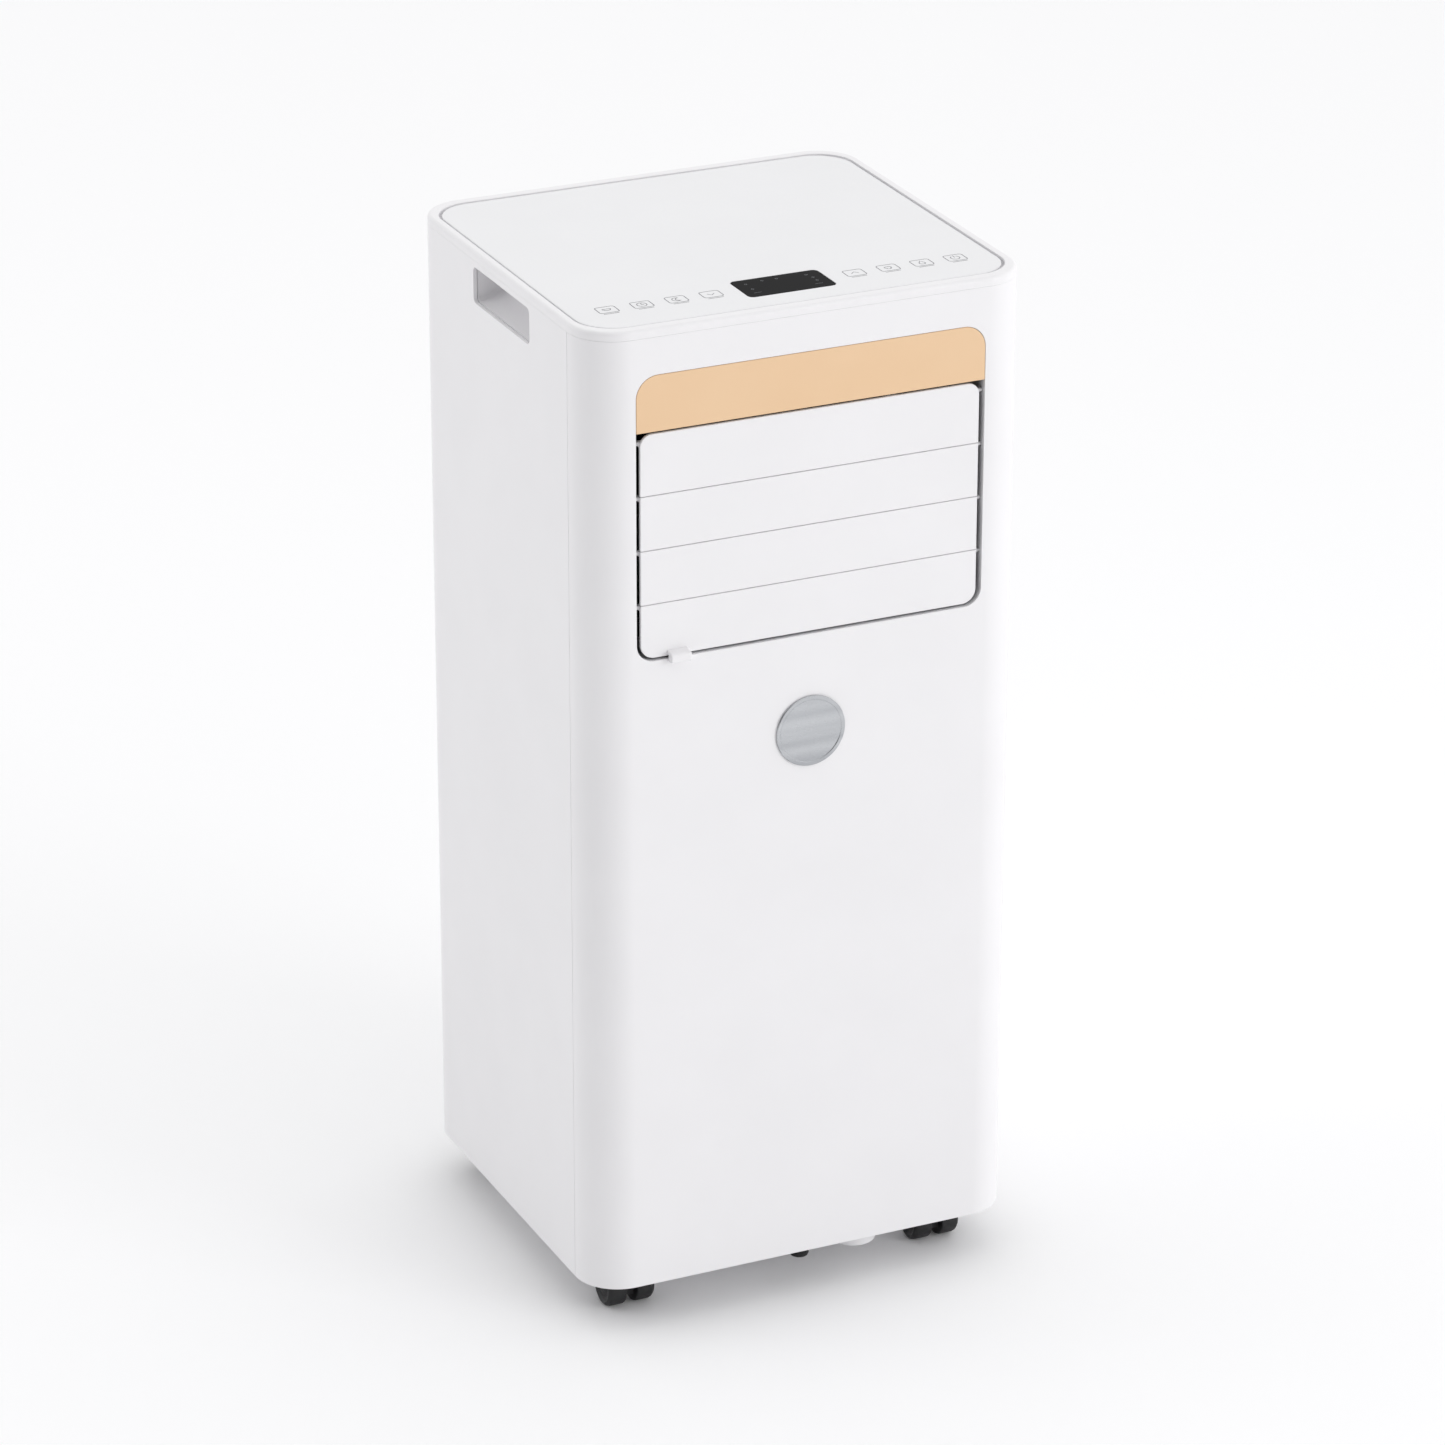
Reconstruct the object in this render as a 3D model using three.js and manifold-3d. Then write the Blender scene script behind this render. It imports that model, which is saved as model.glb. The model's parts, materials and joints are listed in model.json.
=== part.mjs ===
// A portable air conditioner: a white tower on four twin-wheel casters, with a hand-set louvre at the
// front, a touch panel on top, grip pockets in both sides, and the filter, intake and exhaust collar behind.
// Millimetres, +Z up, the front looks along -Y, and the origin is on the floor under the middle of the body.
import * as THREE from "three";
import { mergeVertices } from "three/addons/utils/BufferGeometryUtils.js";
import Module from "manifold-3d";

const wasm = await Module();
wasm.setup();

// ---- Driving dimensions ----
const bodyWidth = 305;
const bodyDepth = 281;
const skirtZ = 33; // floor to the lower edge of the casings
const bodyHeight = 660;
const rimHeight = 6; // the top frame's share of the height
const wall = 2.5;
const gap = 0.3; // between pieces that meet face to face
const cornerRadius = 30;
const proud = 6.5; // how far the louvre tab and the rear fittings stand out of the body

const totalHeight = skirtZ + bodyHeight;
const halfW = bodyWidth / 2;
const halfD = bodyDepth / 2;
const casingTopZ = totalHeight - rimHeight;
const seamY = -halfD + cornerRadius + 1; // the upright seam behind the front corners
const innerFrontY = -halfD + wall;
const innerRearY = halfD - wall;

const outlet = { halfW: 120, bottomZ: skirtZ + 440, topZ: skirtZ + 629.5, topR: 15, bottomR: 12 };
const strip = { bottomZ: skirtZ + 592.5, thick: 2.4 };
const slat = { count: 4, halfW: 116.8, pitch: 36.2, gap: 0.8, topLip: 4.7, bottomZ: skirtZ + 442 };
slat.cornerR = { top: 8, bottom: 9.5 };
slat.frontY = -halfD + 1.2; // the slats sit a little behind the front face
slat.rearY = slat.frontY + 2.5;
slat.pivotY = innerFrontY + gap + 2.7; // the pins run behind the casing's wall
slat.pivotDrop = 1.9; // from a slat's upper edge to its pivot
// The ear on each slat that the link bar holds.
const crank = { y: 5, z: 12, x: 55, thick: 2.5, r: 3, pinR: 1.5, pinReach: 4.5 };
const pivot = { pinR: 1.3, boreR: 1.9, lugWidth: 3, lugHalf: 1.6, reach: 2 }; // each slat's end pins
const linkBar = { thick: 2.4, halfDepth: 3.2, end: 4, clear: 0.6 };
const outletFrame = { frontY: innerFrontY + gap, rearY: -100, topZ: skirtZ + 617, flange: 4.5, skin: 2.5 };
outletFrame.flangeThick = 2;
outletFrame.flangeR = { low: 14, high: 18 };
const tab = { x: -92, width: 14, drop: 3.7 };
const topRim = { edgeR: 2.5, steps: 3, ledge: 8 };
const panel = { halfW: 145, halfD: 131, r: 26, thick: 3, drop: 0.5, groove: 1.5 };
const display = { y: -96.5, width: 60, depth: 32, r: 4 };
const keys = { perSide: 4, firstX: 49.3, pitch: 23.5 };
const grip = { frontY: -50.8, rearY: 39.9, bottomZ: skirtZ + 626, topZ: skirtZ + 650, depth: 24, r: 4 };
const badge = { z: skirtZ + 374, r: 24, thick: 1.6 };
const filterPort = { halfW: 112, bottomZ: 480, topZ: 654, r: 8 };
const intakePort = { halfW: 98, bottomZ: 66, topZ: 248, r: 8 };
const exhaust = { z: 328, tubeR: 62, flangeR: 72, reach: 27, flangeThick: 3 };
const deckZ = 398; // the floor of the evaporator chamber
const pan = { floorZ: 37, thick: 3, wallTopZ: 66 };
const caster = { x: 112, y: 105, wheelR: 14, wheelW: 13, webW: 6, trail: 8, stemR: 4, crownTopZ: 34 };
caster.crownR = 10;
caster.axleR = 2.4;
const socket = { r: 9, height: 20, boreR: 4.6, boreDepth: 17 }; // the pan's bosses for the caster stems
const sump = { x: 48, y: -112, r: 18, bottomZ: skirtZ - 13.5, wall: 2.5, taper: 3 };
const plug = { x: 6, y: -117, r: 6.5, bottomZ: skirtZ - 15.5, bossWall: 3, bossHeight: 8 };

// ---- Materials ----
const plastic = (color, roughness = 0.45) =>
  new THREE.MeshStandardMaterial({ color, roughness, metalness: 0 });
const metal = (color, roughness = 0.35) => new THREE.MeshStandardMaterial({ color, roughness, metalness: 1 });
const whiteShell = plastic(0xf1f0f1, 0.4);
const whitePanel = plastic(0xf2f1f2, 0.28);
const greyPlastic = plastic(0xc2c3c6, 0.5);
const tanTrim = plastic(0xe9cba9, 0.42);
const smokedGlass = plastic(0x121214, 0.1);
const blackPlastic = plastic(0x1a1a1c, 0.5);
const blackRubber = plastic(0x151515, 0.8);
const brushedSteel = metal(0x9c9da0, 0.3);
const paintedSteel = new THREE.MeshStandardMaterial({ color: 0x1d1e20, roughness: 0.45, metalness: 0.2 });
const galvanised = metal(0xb4b8ba, 0.45);
const copper = metal(0xb87350, 0.3);
const finAluminium = metal(0xc9ccce, 0.4);
const circuitBoard = plastic(0x1f5a3a, 0.6);

// ---- Solids from three.js geometry ----
function solid(geometry) {
  const bare = geometry.clone();
  bare.deleteAttribute("normal");
  bare.deleteAttribute("uv");
  const merged = mergeVertices(bare, 1e-4);
  const index = merged.index.array;
  const position = merged.attributes.position;
  const corner = [0, 1, 2].map(() => new THREE.Vector3());
  const triangles = [];
  let volume = 0;
  for (let i = 0; i < index.length; i += 3) {
    const [a, b, c] = index.slice(i, i + 3);
    if (a === b || b === c || c === a) continue;
    triangles.push([a, b, c]);
    [a, b, c].forEach((at, k) => corner[k].fromBufferAttribute(position, at));
    volume += corner[0].dot(corner[1].clone().cross(corner[2]));
  }
  const outward = volume > 0 ? triangles : triangles.map(([a, b, c]) => [a, c, b]);
  return new wasm.Manifold(
    new wasm.Mesh({
      numProp: 3,
      vertProperties: new Float32Array(position.array),
      triVerts: new Uint32Array(outward.flat()),
    }),
  );
}

function geometryOf(made) {
  const mesh = made.getMesh();
  const geometry = new THREE.BufferGeometry();
  geometry.setAttribute("position", new THREE.BufferAttribute(new Float32Array(mesh.vertProperties), 3));
  geometry.setIndex(new THREE.BufferAttribute(new Uint32Array(mesh.triVerts), 1));
  geometry.computeVertexNormals();
  return geometry;
}

// The same solid after a three.js matrix, which may also mirror it.
function moved(made, matrix) {
  return solid(geometryOf(made).applyMatrix4(matrix));
}

const shift = (x, y, z) => new THREE.Matrix4().makeTranslation(x, y, z);
const spinX = (degrees) => new THREE.Matrix4().makeRotationX(THREE.MathUtils.degToRad(degrees));
const spinY = (degrees) => new THREE.Matrix4().makeRotationY(THREE.MathUtils.degToRad(degrees));

const join = (first, ...rest) => rest.reduce((made, piece) => made.add(piece), first);
const cut = (first, ...rest) => rest.reduce((made, piece) => made.subtract(piece), first);

// ---- Outlines ----
// A rectangle with its own radius at the low and the high corners; a radius of 0 is a plain corner.
function roundRect(x0, y0, x1, y1, lowR, highR = lowR, steps = 4) {
  const corners = [
    [x1 - lowR, y0 + lowR, lowR],
    [x1 - highR, y1 - highR, highR],
    [x0 + highR, y1 - highR, highR],
    [x0 + lowR, y0 + lowR, lowR],
  ];
  const points = [];
  corners.forEach(([cx, cy, r], quarter) => {
    const last = r > 0 ? steps : 0;
    for (let i = 0; i <= last; i++) {
      const angle = (quarter - 1 + i / Math.max(last, 1)) * (Math.PI / 2);
      points.push([cx + r * Math.cos(angle), cy + r * Math.sin(angle)]);
    }
  });
  return polygon(points);
}

function polygon(points) {
  return new THREE.Shape(points.map(([x, y]) => new THREE.Vector2(x, y)));
}

function circle(x, y, r) {
  const shape = new THREE.Shape();
  shape.absarc(x, y, r, 0, 2 * Math.PI);
  return shape;
}

// The body's plan, taken in from the outer face by an inset.
function bodyPlan(inset) {
  const r = Math.max(cornerRadius - inset, 2);
  return roundRect(-halfW + inset, -halfD + inset, halfW - inset, halfD - inset, r, r, 8);
}

// ---- Extrusions: the outline lies across the named axis ----
function alongZ(shape, z0, z1) {
  const geometry = new THREE.ExtrudeGeometry(shape, { depth: z1 - z0, bevelEnabled: false });
  return solid(geometry.translate(0, 0, z0));
}

function alongY(shape, y0, y1) {
  const geometry = new THREE.ExtrudeGeometry(shape, { depth: y1 - y0, bevelEnabled: false });
  return solid(geometry.rotateX(Math.PI / 2).translate(0, y1, 0));
}

function alongX(shape, x0, x1) {
  const geometry = new THREE.ExtrudeGeometry(shape, { depth: x1 - x0, bevelEnabled: false });
  const turn = new THREE.Matrix4().makeBasis(
    new THREE.Vector3(0, 1, 0),
    new THREE.Vector3(0, 0, 1),
    new THREE.Vector3(1, 0, 0),
  );
  return solid(geometry.applyMatrix4(turn).translate(x0, 0, 0));
}

function box(x0, x1, y0, y1, z0, z1) {
  const geometry = new THREE.BoxGeometry(x1 - x0, y1 - y0, z1 - z0);
  return solid(geometry.translate((x0 + x1) / 2, (y0 + y1) / 2, (z0 + z1) / 2));
}

// A cylinder from one height to another; its flats face the axes.
function post(x, y, r, z0, z1, sides = 16, topR = r) {
  const geometry = new THREE.CylinderGeometry(topR, r, z1 - z0, sides);
  return solid(geometry.rotateX(Math.PI / 2).translate(x, y, (z0 + z1) / 2));
}

function drumY(x, z, r, y0, y1, sides = 24, rearR = r) {
  const geometry = new THREE.CylinderGeometry(rearR, r, y1 - y0, sides);
  return solid(geometry.translate(x, (y0 + y1) / 2, z));
}

function drumX(y, z, r, x0, x1, sides = 12) {
  const geometry = new THREE.CylinderGeometry(r, r, x1 - x0, sides);
  return solid(geometry.rotateZ(-Math.PI / 2).translate((x0 + x1) / 2, y, z));
}

// A profile of [radius, height] pairs turned about an upright axis.
function turned(profile, sides = 20) {
  const points = profile.map(([r, z]) => new THREE.Vector2(r, z));
  return solid(new THREE.LatheGeometry(points, sides).rotateX(Math.PI / 2));
}

// A tube through corner points, with each corner rounded to the bend radius.
function pipe(corners, r, bend, steps) {
  const at = corners.map((c) => new THREE.Vector3(...c));
  const path = new THREE.CurvePath();
  let from = at[0];
  for (let i = 1; i < at.length - 1; i++) {
    const before = at[i].clone().add(at[i - 1].clone().sub(at[i]).setLength(bend));
    const after = at[i].clone().add(at[i + 1].clone().sub(at[i]).setLength(bend));
    path.add(new THREE.LineCurve3(from, before));
    path.add(new THREE.QuadraticBezierCurve3(before, at[i], after));
    from = after;
  }
  path.add(new THREE.LineCurve3(from, at[at.length - 1]));
  const geometry = new THREE.ExtrudeGeometry(circle(0, 0, r), {
    extrudePath: path,
    steps,
    curveSegments: 4,
    bevelEnabled: false,
  });
  return solid(geometry);
}

// ---- The assembly ----
const airConditioner = new THREE.Group();

function place(name, made, material, parent = airConditioner, position = [0, 0, 0]) {
  const mesh = new THREE.Mesh(geometryOf(made), material);
  mesh.name = name;
  mesh.position.set(...position);
  parent.add(mesh);
  return mesh;
}

function subassembly(x = 0, y = 0, z = 0) {
  const group = new THREE.Group();
  group.position.set(x, y, z);
  airConditioner.add(group);
  return group;
}

// ---- Casings ----
function shellBetween(y0, y1) {
  const plan = bodyPlan(0);
  plan.holes.push(bodyPlan(wall));
  const ring = alongZ(plan, skirtZ, casingTopZ);
  return ring.intersect(box(-halfW - 1, halfW + 1, y0, y1, 0, totalHeight));
}

function frontCasing() {
  const { halfW: x, bottomZ, topZ, bottomR, topR } = outlet;
  const shape = roundRect(-x, bottomZ, x, topZ, bottomR, topR);
  return cut(shellBetween(-halfD - 1, seamY - gap / 2), alongY(shape, -halfD - 1, innerFrontY + 1));
}

function portShape(port, clearance = 0) {
  return roundRect(
    -port.halfW + clearance,
    port.bottomZ + clearance,
    port.halfW - clearance,
    port.topZ - clearance,
    port.r - clearance,
  );
}

const drainCap = { x: -118, z: 414, r: 9, stemR: 6, holeR: 7, reach: 10 };
const cordGland = { x: 114, z: 82, headR: 8, neckR: 5.4, boreR: 4.2, holeR: 6, reach: 8 };
const screw = { headR: 3.4, headHeight: 1.8, shankR: 1.6, length: 9, holeR: 2.2 };
screw.slotWidth = 0.8;
screw.slotDepth = 0.8;
const collarHoleR = exhaust.tubeR + 1.5;
const casingScrewSpots = [
  [-118, 300],
  [118, 300],
  [-118, 669],
  [118, 669],
];

function rearCasing() {
  const y0 = innerRearY - 1;
  const y1 = halfD + 1;
  const gripShape = roundRect(grip.frontY, grip.bottomZ, grip.rearY, grip.topZ, grip.r);
  return cut(
    shellBetween(seamY + gap / 2, y1),
    alongX(gripShape, -halfW - 1, -halfW + wall + 1),
    alongX(gripShape, halfW - wall - 1, halfW + 1),
    alongY(portShape(filterPort), y0, y1),
    alongY(portShape(intakePort), y0, y1),
    drumY(0, exhaust.z, collarHoleR, y0, y1, 32),
    drumY(drainCap.x, drainCap.z, drainCap.holeR, y0, y1, 16),
    drumY(cordGland.x, cordGland.z, cordGland.holeR, y0, y1, 16),
    ...casingScrewSpots.map(([x, z]) => drumY(x, z, screw.holeR, y0, y1, 8)),
  );
}

const pocket = { skin: 1.8, lip: 3, floorRise: 2, backDrop: 7 };

// The grip pocket's section: a flat roof, and a floor that curves down from the back to the mouth.
function scoop(offset) {
  const mouthX = -halfW + wall + gap - 0.01;
  const backX = -halfW + grip.depth + offset;
  const shape = new THREE.Shape();
  shape.moveTo(mouthX, grip.bottomZ - offset);
  shape.quadraticCurveTo(backX, grip.bottomZ - offset + pocket.floorRise, backX, grip.topZ - pocket.backDrop);
  shape.lineTo(backX, grip.topZ + offset);
  shape.lineTo(mouthX, grip.topZ + offset);
  shape.closePath();
  return shape;
}

function gripPocket() {
  const { skin, lip } = pocket;
  const flangeX = -halfW + wall + gap;
  const shell = alongY(scoop(skin), grip.frontY - skin, grip.rearY + skin);
  const flange = box(
    flangeX,
    flangeX + skin,
    grip.frontY - lip,
    grip.rearY + lip,
    grip.bottomZ - lip,
    grip.topZ + lip,
  );
  const trimmed = join(shell, flange).intersect(box(flangeX, 0, -halfD, halfD, 0, totalHeight));
  const hollow = alongY(scoop(0), grip.frontY, grip.rearY);
  return cut(trimmed, moved(hollow, shift(-1, 0, 0)), hollow);
}

const mirrorX = new THREE.Matrix4().makeScale(-1, 1, 1);
place("front_casing", frontCasing(), whiteShell);
place("rear_casing", rearCasing(), whiteShell);
place("grip_pocket_left", gripPocket(), whiteShell);
place("grip_pocket_right", moved(gripPocket(), mirrorX), whiteShell);

// ---- Top ----
// The top frame's body: straight sides, then an edge rounded in steps along a quarter circle.
function roundedSlab(z0, z1, edgeR, steps) {
  const rings = [bodyPlan(0).getPoints().map((p) => [p.x, p.y, z0])];
  for (let i = 0; i <= steps; i++) {
    const angle = (i / steps) * (Math.PI / 2);
    const inset = edgeR * (1 - Math.cos(angle));
    const z = z1 - edgeR + edgeR * Math.sin(angle);
    rings.push(bodyPlan(inset).getPoints().map((p) => [p.x, p.y, z]));
  }
  const count = rings[0].length;
  const index = [];
  for (let ring = 0; ring < rings.length - 1; ring++)
    for (let i = 0; i < count; i++) {
      const low = ring * count + i;
      const lowNext = ring * count + ((i + 1) % count);
      index.push(low, lowNext, lowNext + count, low, lowNext + count, low + count);
    }
  const top = (rings.length - 1) * count;
  for (let i = 1; i < count - 1; i++) {
    index.push(0, i + 1, i);
    index.push(top, top + i, top + i + 1);
  }
  const geometry = new THREE.BufferGeometry();
  geometry.setAttribute("position", new THREE.Float32BufferAttribute(rings.flat(2), 3));
  geometry.setIndex(index);
  return solid(geometry);
}

const panelTopZ = totalHeight - panel.drop;
const panelBottomZ = panelTopZ - panel.thick;

function topFrame() {
  const wellX = panel.halfW + panel.groove;
  const wellY = panel.halfD + panel.groove;
  const { ledge } = topRim;
  const well = roundRect(-wellX, -wellY, wellX, wellY, panel.r, panel.r, 6);
  const opening = roundRect(-wellX + ledge, -wellY + ledge, wellX - ledge, wellY - ledge, panel.r - ledge);
  return cut(
    roundedSlab(casingTopZ + gap, totalHeight, topRim.edgeR, topRim.steps),
    alongZ(well, panelBottomZ - gap, totalHeight + 1),
    alongZ(opening, casingTopZ - 1, totalHeight),
  );
}

function displayShape(clearance) {
  const x = display.width / 2 + clearance;
  const y = display.depth / 2 + clearance;
  return roundRect(-x, display.y - y, x, display.y + y, display.r);
}

function controlPanel() {
  const plan = roundRect(-panel.halfW, -panel.halfD, panel.halfW, panel.halfD, panel.r, panel.r, 6);
  plan.holes.push(displayShape(gap));
  return alongZ(plan, panelBottomZ, panelTopZ);
}

const touchBoard = { halfW: 130, frontReach: 24, rearReach: 20, thick: 1.6, drop: 5, sensorR: 4 };
const displayPart = { halfW: 27, halfD: 12 };

// The board under the panel: the display module, and a sensor post under each touch key.
function displayBoard() {
  const b = touchBoard;
  const d = displayPart;
  const topZ = casingTopZ - b.drop;
  const reachZ = panelBottomZ - gap;
  const frontY = display.y - b.frontReach;
  const board = box(-b.halfW, b.halfW, frontY, display.y + b.rearReach, topZ - b.thick, topZ);
  const displayModule = box(-d.halfW, d.halfW, display.y - d.halfD, display.y + d.halfD, topZ - 0.1, reachZ);
  const sensors = [];
  for (const side of [-1, 1])
    for (let i = 0; i < keys.perSide; i++)
      sensors.push(post(side * (keys.firstX + keys.pitch * i), display.y, b.sensorR, topZ - 0.1, reachZ, 8));
  return join(board, displayModule, ...sensors);
}

place("top_frame", topFrame(), whiteShell);
place("control_panel", controlPanel(), whitePanel);
place("display_window", alongZ(displayShape(0), panelBottomZ, panelTopZ), smokedGlass);
place("display_board", displayBoard(), circuitBoard);

// ---- Louvre ----
const slatTop = slat.pivotDrop; // heights about a slat's own pivot
const slatBottom = slat.pivotDrop - slat.pitch + slat.gap;
const pivotZ = (i) => slat.bottomZ + (slat.count - 1 - i) * slat.pitch - slatBottom;

function louvreFrame() {
  const f = outletFrame;
  const { halfW: w, bottomZ: z0 } = outlet;
  const duct = roundRect(-w - f.skin, z0 - f.skin, w + f.skin, f.topZ + f.skin, outlet.bottomR + f.skin, 4);
  duct.holes.push(roundRect(-w, z0, w, f.topZ, outlet.bottomR, 2));
  const { low, high } = f.flangeR;
  const flange = roundRect(-w - f.flange, z0 - f.flange, w + f.flange, outlet.topZ + f.flange, low, high);
  flange.holes.push(roundRect(-w, z0, w, strip.bottomZ, outlet.bottomR, 0));
  const bearings = [];
  for (let i = 0; i < slat.count; i++)
    bearings.push(drumX(slat.pivotY, pivotZ(i), pivot.boreR, -w - 5, w + 5, 8));
  const face = alongY(flange, f.frontY, f.frontY + f.flangeThick);
  return cut(join(alongY(duct, f.frontY, f.rearY), face), ...bearings);
}

// One slat about its own pivot: the blade, a lug and pin at each end, and the crank ear with its pin.
function louvreSlat(i) {
  const front = slat.frontY - slat.pivotY;
  const rear = slat.rearY - slat.pivotY;
  const first = i === 0;
  const last = i === slat.count - 1;
  const top = slatTop + (first ? slat.topLip : 0);
  const ease = 0.7; // the eased front edges
  const section = polygon([
    [rear, slatBottom],
    [rear, top],
    [front + ease, top],
    [front, top - ease],
    [front, slatBottom + ease],
    [front + ease, slatBottom],
  ]);
  const face = roundRect(
    -slat.halfW,
    slatBottom,
    slat.halfW,
    top,
    last ? slat.cornerR.bottom : 0,
    first ? slat.cornerR.top : 0,
  );
  const blade = alongX(section, -slat.halfW, slat.halfW).intersect(alongY(face, front - 1, rear + 1));
  const ear = alongX(
    polygon([
      [rear - 0.3, -10],
      [crank.y + crank.r, crank.z - 4],
      [crank.y + crank.r, crank.z + crank.r],
      [crank.y - crank.r, crank.z + crank.r],
      [crank.y - crank.r, 3],
      [rear - 0.3, 0.5],
    ]),
    crank.x,
    crank.x + crank.thick,
  );
  const pinX = crank.x + crank.thick;
  const crankPin = drumX(crank.y, crank.z, crank.pinR, pinX - 0.2, pinX + crank.pinReach, 8);
  const ends = [-1, 1].flatMap((side) => {
    const span = (from, to) => [Math.min(side * from, side * to), Math.max(side * from, side * to)];
    const { lugWidth, lugHalf, pinR, reach } = pivot;
    const lug = box(...span(slat.halfW - lugWidth, slat.halfW), rear - 0.3, lugHalf, -lugHalf, lugHalf);
    return [lug, drumX(0, 0, pinR, ...span(slat.halfW - 1, outlet.halfW + reach), 8)];
  });
  const made = join(blade, ear, crankPin, ...ends);
  return last ? join(made, louvreTab(front)) : made;
}

// The finger tab on the lowest slat's lower edge; it stands out over the casing's face.
function louvreTab(front) {
  const tipY = -halfD - proud - slat.pivotY;
  const clearY = -halfD - 0.5 - slat.pivotY;
  const { drop } = tab;
  return alongX(
    polygon([
      [front + 0.3, slatBottom + 1],
      [front + 0.3, slatBottom + 4],
      [tipY + 1.2, slatBottom + 3],
      [tipY, slatBottom + 1.5],
      [tipY, slatBottom - drop + 1.5],
      [tipY + 1.5, slatBottom - drop],
      [clearY, slatBottom - drop],
      [clearY, slatBottom + 1],
    ]),
    tab.x - tab.width / 2,
    tab.x + tab.width / 2,
  );
}

// The bar that ties the cranks together, drawn about the top slat's crank pin.
function louvreLink() {
  const lowest = -(slat.count - 1) * slat.pitch;
  const holes = [];
  const { thick, halfDepth, end } = linkBar;
  for (let i = 0; i < slat.count; i++) holes.push(drumX(0, -i * slat.pitch, pivot.boreR, -1, thick + 1, 8));
  return cut(box(0, thick, -halfDepth, halfDepth, lowest - end, end), ...holes);
}

const guardDepth = 8;

// Upright guide vanes in one moulding, which also keeps fingers out of the blower.
function outletGuard() {
  const vaneGaps = 12;
  const vaneThick = 1.6;
  const rim = { side: 4, bottom: 10, top: 6 };
  const x = outlet.halfW;
  const y0 = outletFrame.rearY + gap;
  const y1 = outletFrame.rearY + guardDepth;
  const shape = roundRect(-x, outlet.bottomZ, x, outletFrame.topZ, outlet.bottomR, 2);
  const pitch = (2 * (x - rim.side)) / vaneGaps;
  const z0 = outlet.bottomZ + rim.bottom;
  const z1 = outletFrame.topZ - rim.top;
  const slots = [];
  for (let i = 0; i < vaneGaps; i++) {
    const x0 = -x + rim.side + i * pitch + vaneThick / 2;
    slots.push(box(x0, x0 + pitch - vaneThick, y0 - 1, y1 + 1, z0, z1));
  }
  return cut(alongY(shape, y0, y1), ...slots);
}

function trimStrip() {
  const x = outlet.halfW - gap;
  const shape = roundRect(-x, strip.bottomZ, x, outlet.topZ - gap, 0, outlet.topR - gap, 6);
  return alongY(shape, -halfD, -halfD + strip.thick);
}

place("louvre_frame", louvreFrame(), greyPlastic);
place("outlet_guard", outletGuard(), blackPlastic);
place("trim_strip", trimStrip(), tanTrim);
const louvre = subassembly(0, slat.pivotY, 0);
for (let i = 0; i < slat.count; i++)
  place(`louvre_slat_${i + 1}`, louvreSlat(i), whiteShell, louvre, [0, 0, pivotZ(i)]);
const linkX = crank.x + crank.thick + linkBar.clear;
place("louvre_link", louvreLink(), greyPlastic, louvre, [linkX, crank.y, pivotZ(0) + crank.z]);

// A plain round plate on the front.
place("badge", drumY(0, badge.z, badge.r, -halfD - badge.thick, -halfD - 0.05, 40), brushedSteel);

// ---- Rear fittings ----
function slottedPlate(port, rows, columns) {
  const margin = 8;
  const bar = 6;
  const columnPitch = (2 * (port.halfW - margin)) / columns;
  const rowPitch = (port.topZ - port.bottomZ - 2 * margin) / rows;
  const slots = [];
  for (let row = 0; row < rows; row++)
    for (let column = 0; column < columns; column++) {
      const x0 = -port.halfW + margin + column * columnPitch + bar / 2;
      const z0 = port.bottomZ + margin + (row + 0.2) * rowPitch;
      slots.push(box(x0, x0 + columnPitch - bar, innerRearY - 1, halfD + 1, z0, z0 + rowPitch * 0.6));
    }
  return cut(alongY(portShape(port, 0.4), innerRearY, halfD), ...slots);
}

function filterGrille() {
  const pull = { halfW: 18, reach: 4.5, drop: 3, height: 4 };
  const topZ = filterPort.topZ - pull.drop;
  const lip = box(-pull.halfW, pull.halfW, halfD - 0.1, halfD + pull.reach, topZ - pull.height, topZ);
  return join(slottedPlate(filterPort, 9, 2), lip);
}

// A rim with a thin sheet inside it, which stands for the mesh.
function filterScreen() {
  const inset = 4;
  const depth = 6;
  const sheet = { setBack: 2, thick: 0.8 };
  const frontY = innerRearY - depth;
  const sheetY = frontY + sheet.setBack;
  const slab = alongY(portShape(filterPort, inset), frontY, innerRearY - gap);
  const middle = alongY(portShape(filterPort, filterPort.r), frontY - 1, innerRearY);
  return join(cut(slab, middle), alongY(portShape(filterPort, inset + 2), sheetY, sheetY + sheet.thick));
}

function exhaustCollar() {
  const e = exhaust;
  const boreR = e.tubeR - wall;
  const ring = turned([
    [boreR, -e.reach],
    [e.tubeR, -e.reach],
    [e.tubeR, gap],
    [e.flangeR, gap],
    [e.flangeR, e.flangeThick],
    [e.tubeR + 1, e.flangeThick + 1],
    [e.tubeR, proud],
    [boreR, proud],
    [boreR, -e.reach],
  ], 28);
  return moved(ring, shift(0, halfD, e.z).multiply(spinX(-90)));
}

function rearDrainCap() {
  const head = drumY(drainCap.x, drainCap.z, drainCap.r, halfD + gap, halfD + proud, 16);
  return join(head, drumY(drainCap.x, drainCap.z, drainCap.stemR, halfD - drainCap.reach, halfD + 1, 12));
}

// The bush where the mains lead enters.
function leadGland() {
  const g = cordGland;
  const head = drumY(g.x, g.z, g.headR, halfD + gap, halfD + proud, 16, g.headR - 2);
  const neck = drumY(g.x, g.z, g.neckR, innerRearY - g.reach, halfD + 1, 16);
  return cut(join(head, neck), drumY(g.x, g.z, g.boreR, innerRearY - g.reach - 1, halfD + proud + 1, 12));
}

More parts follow.
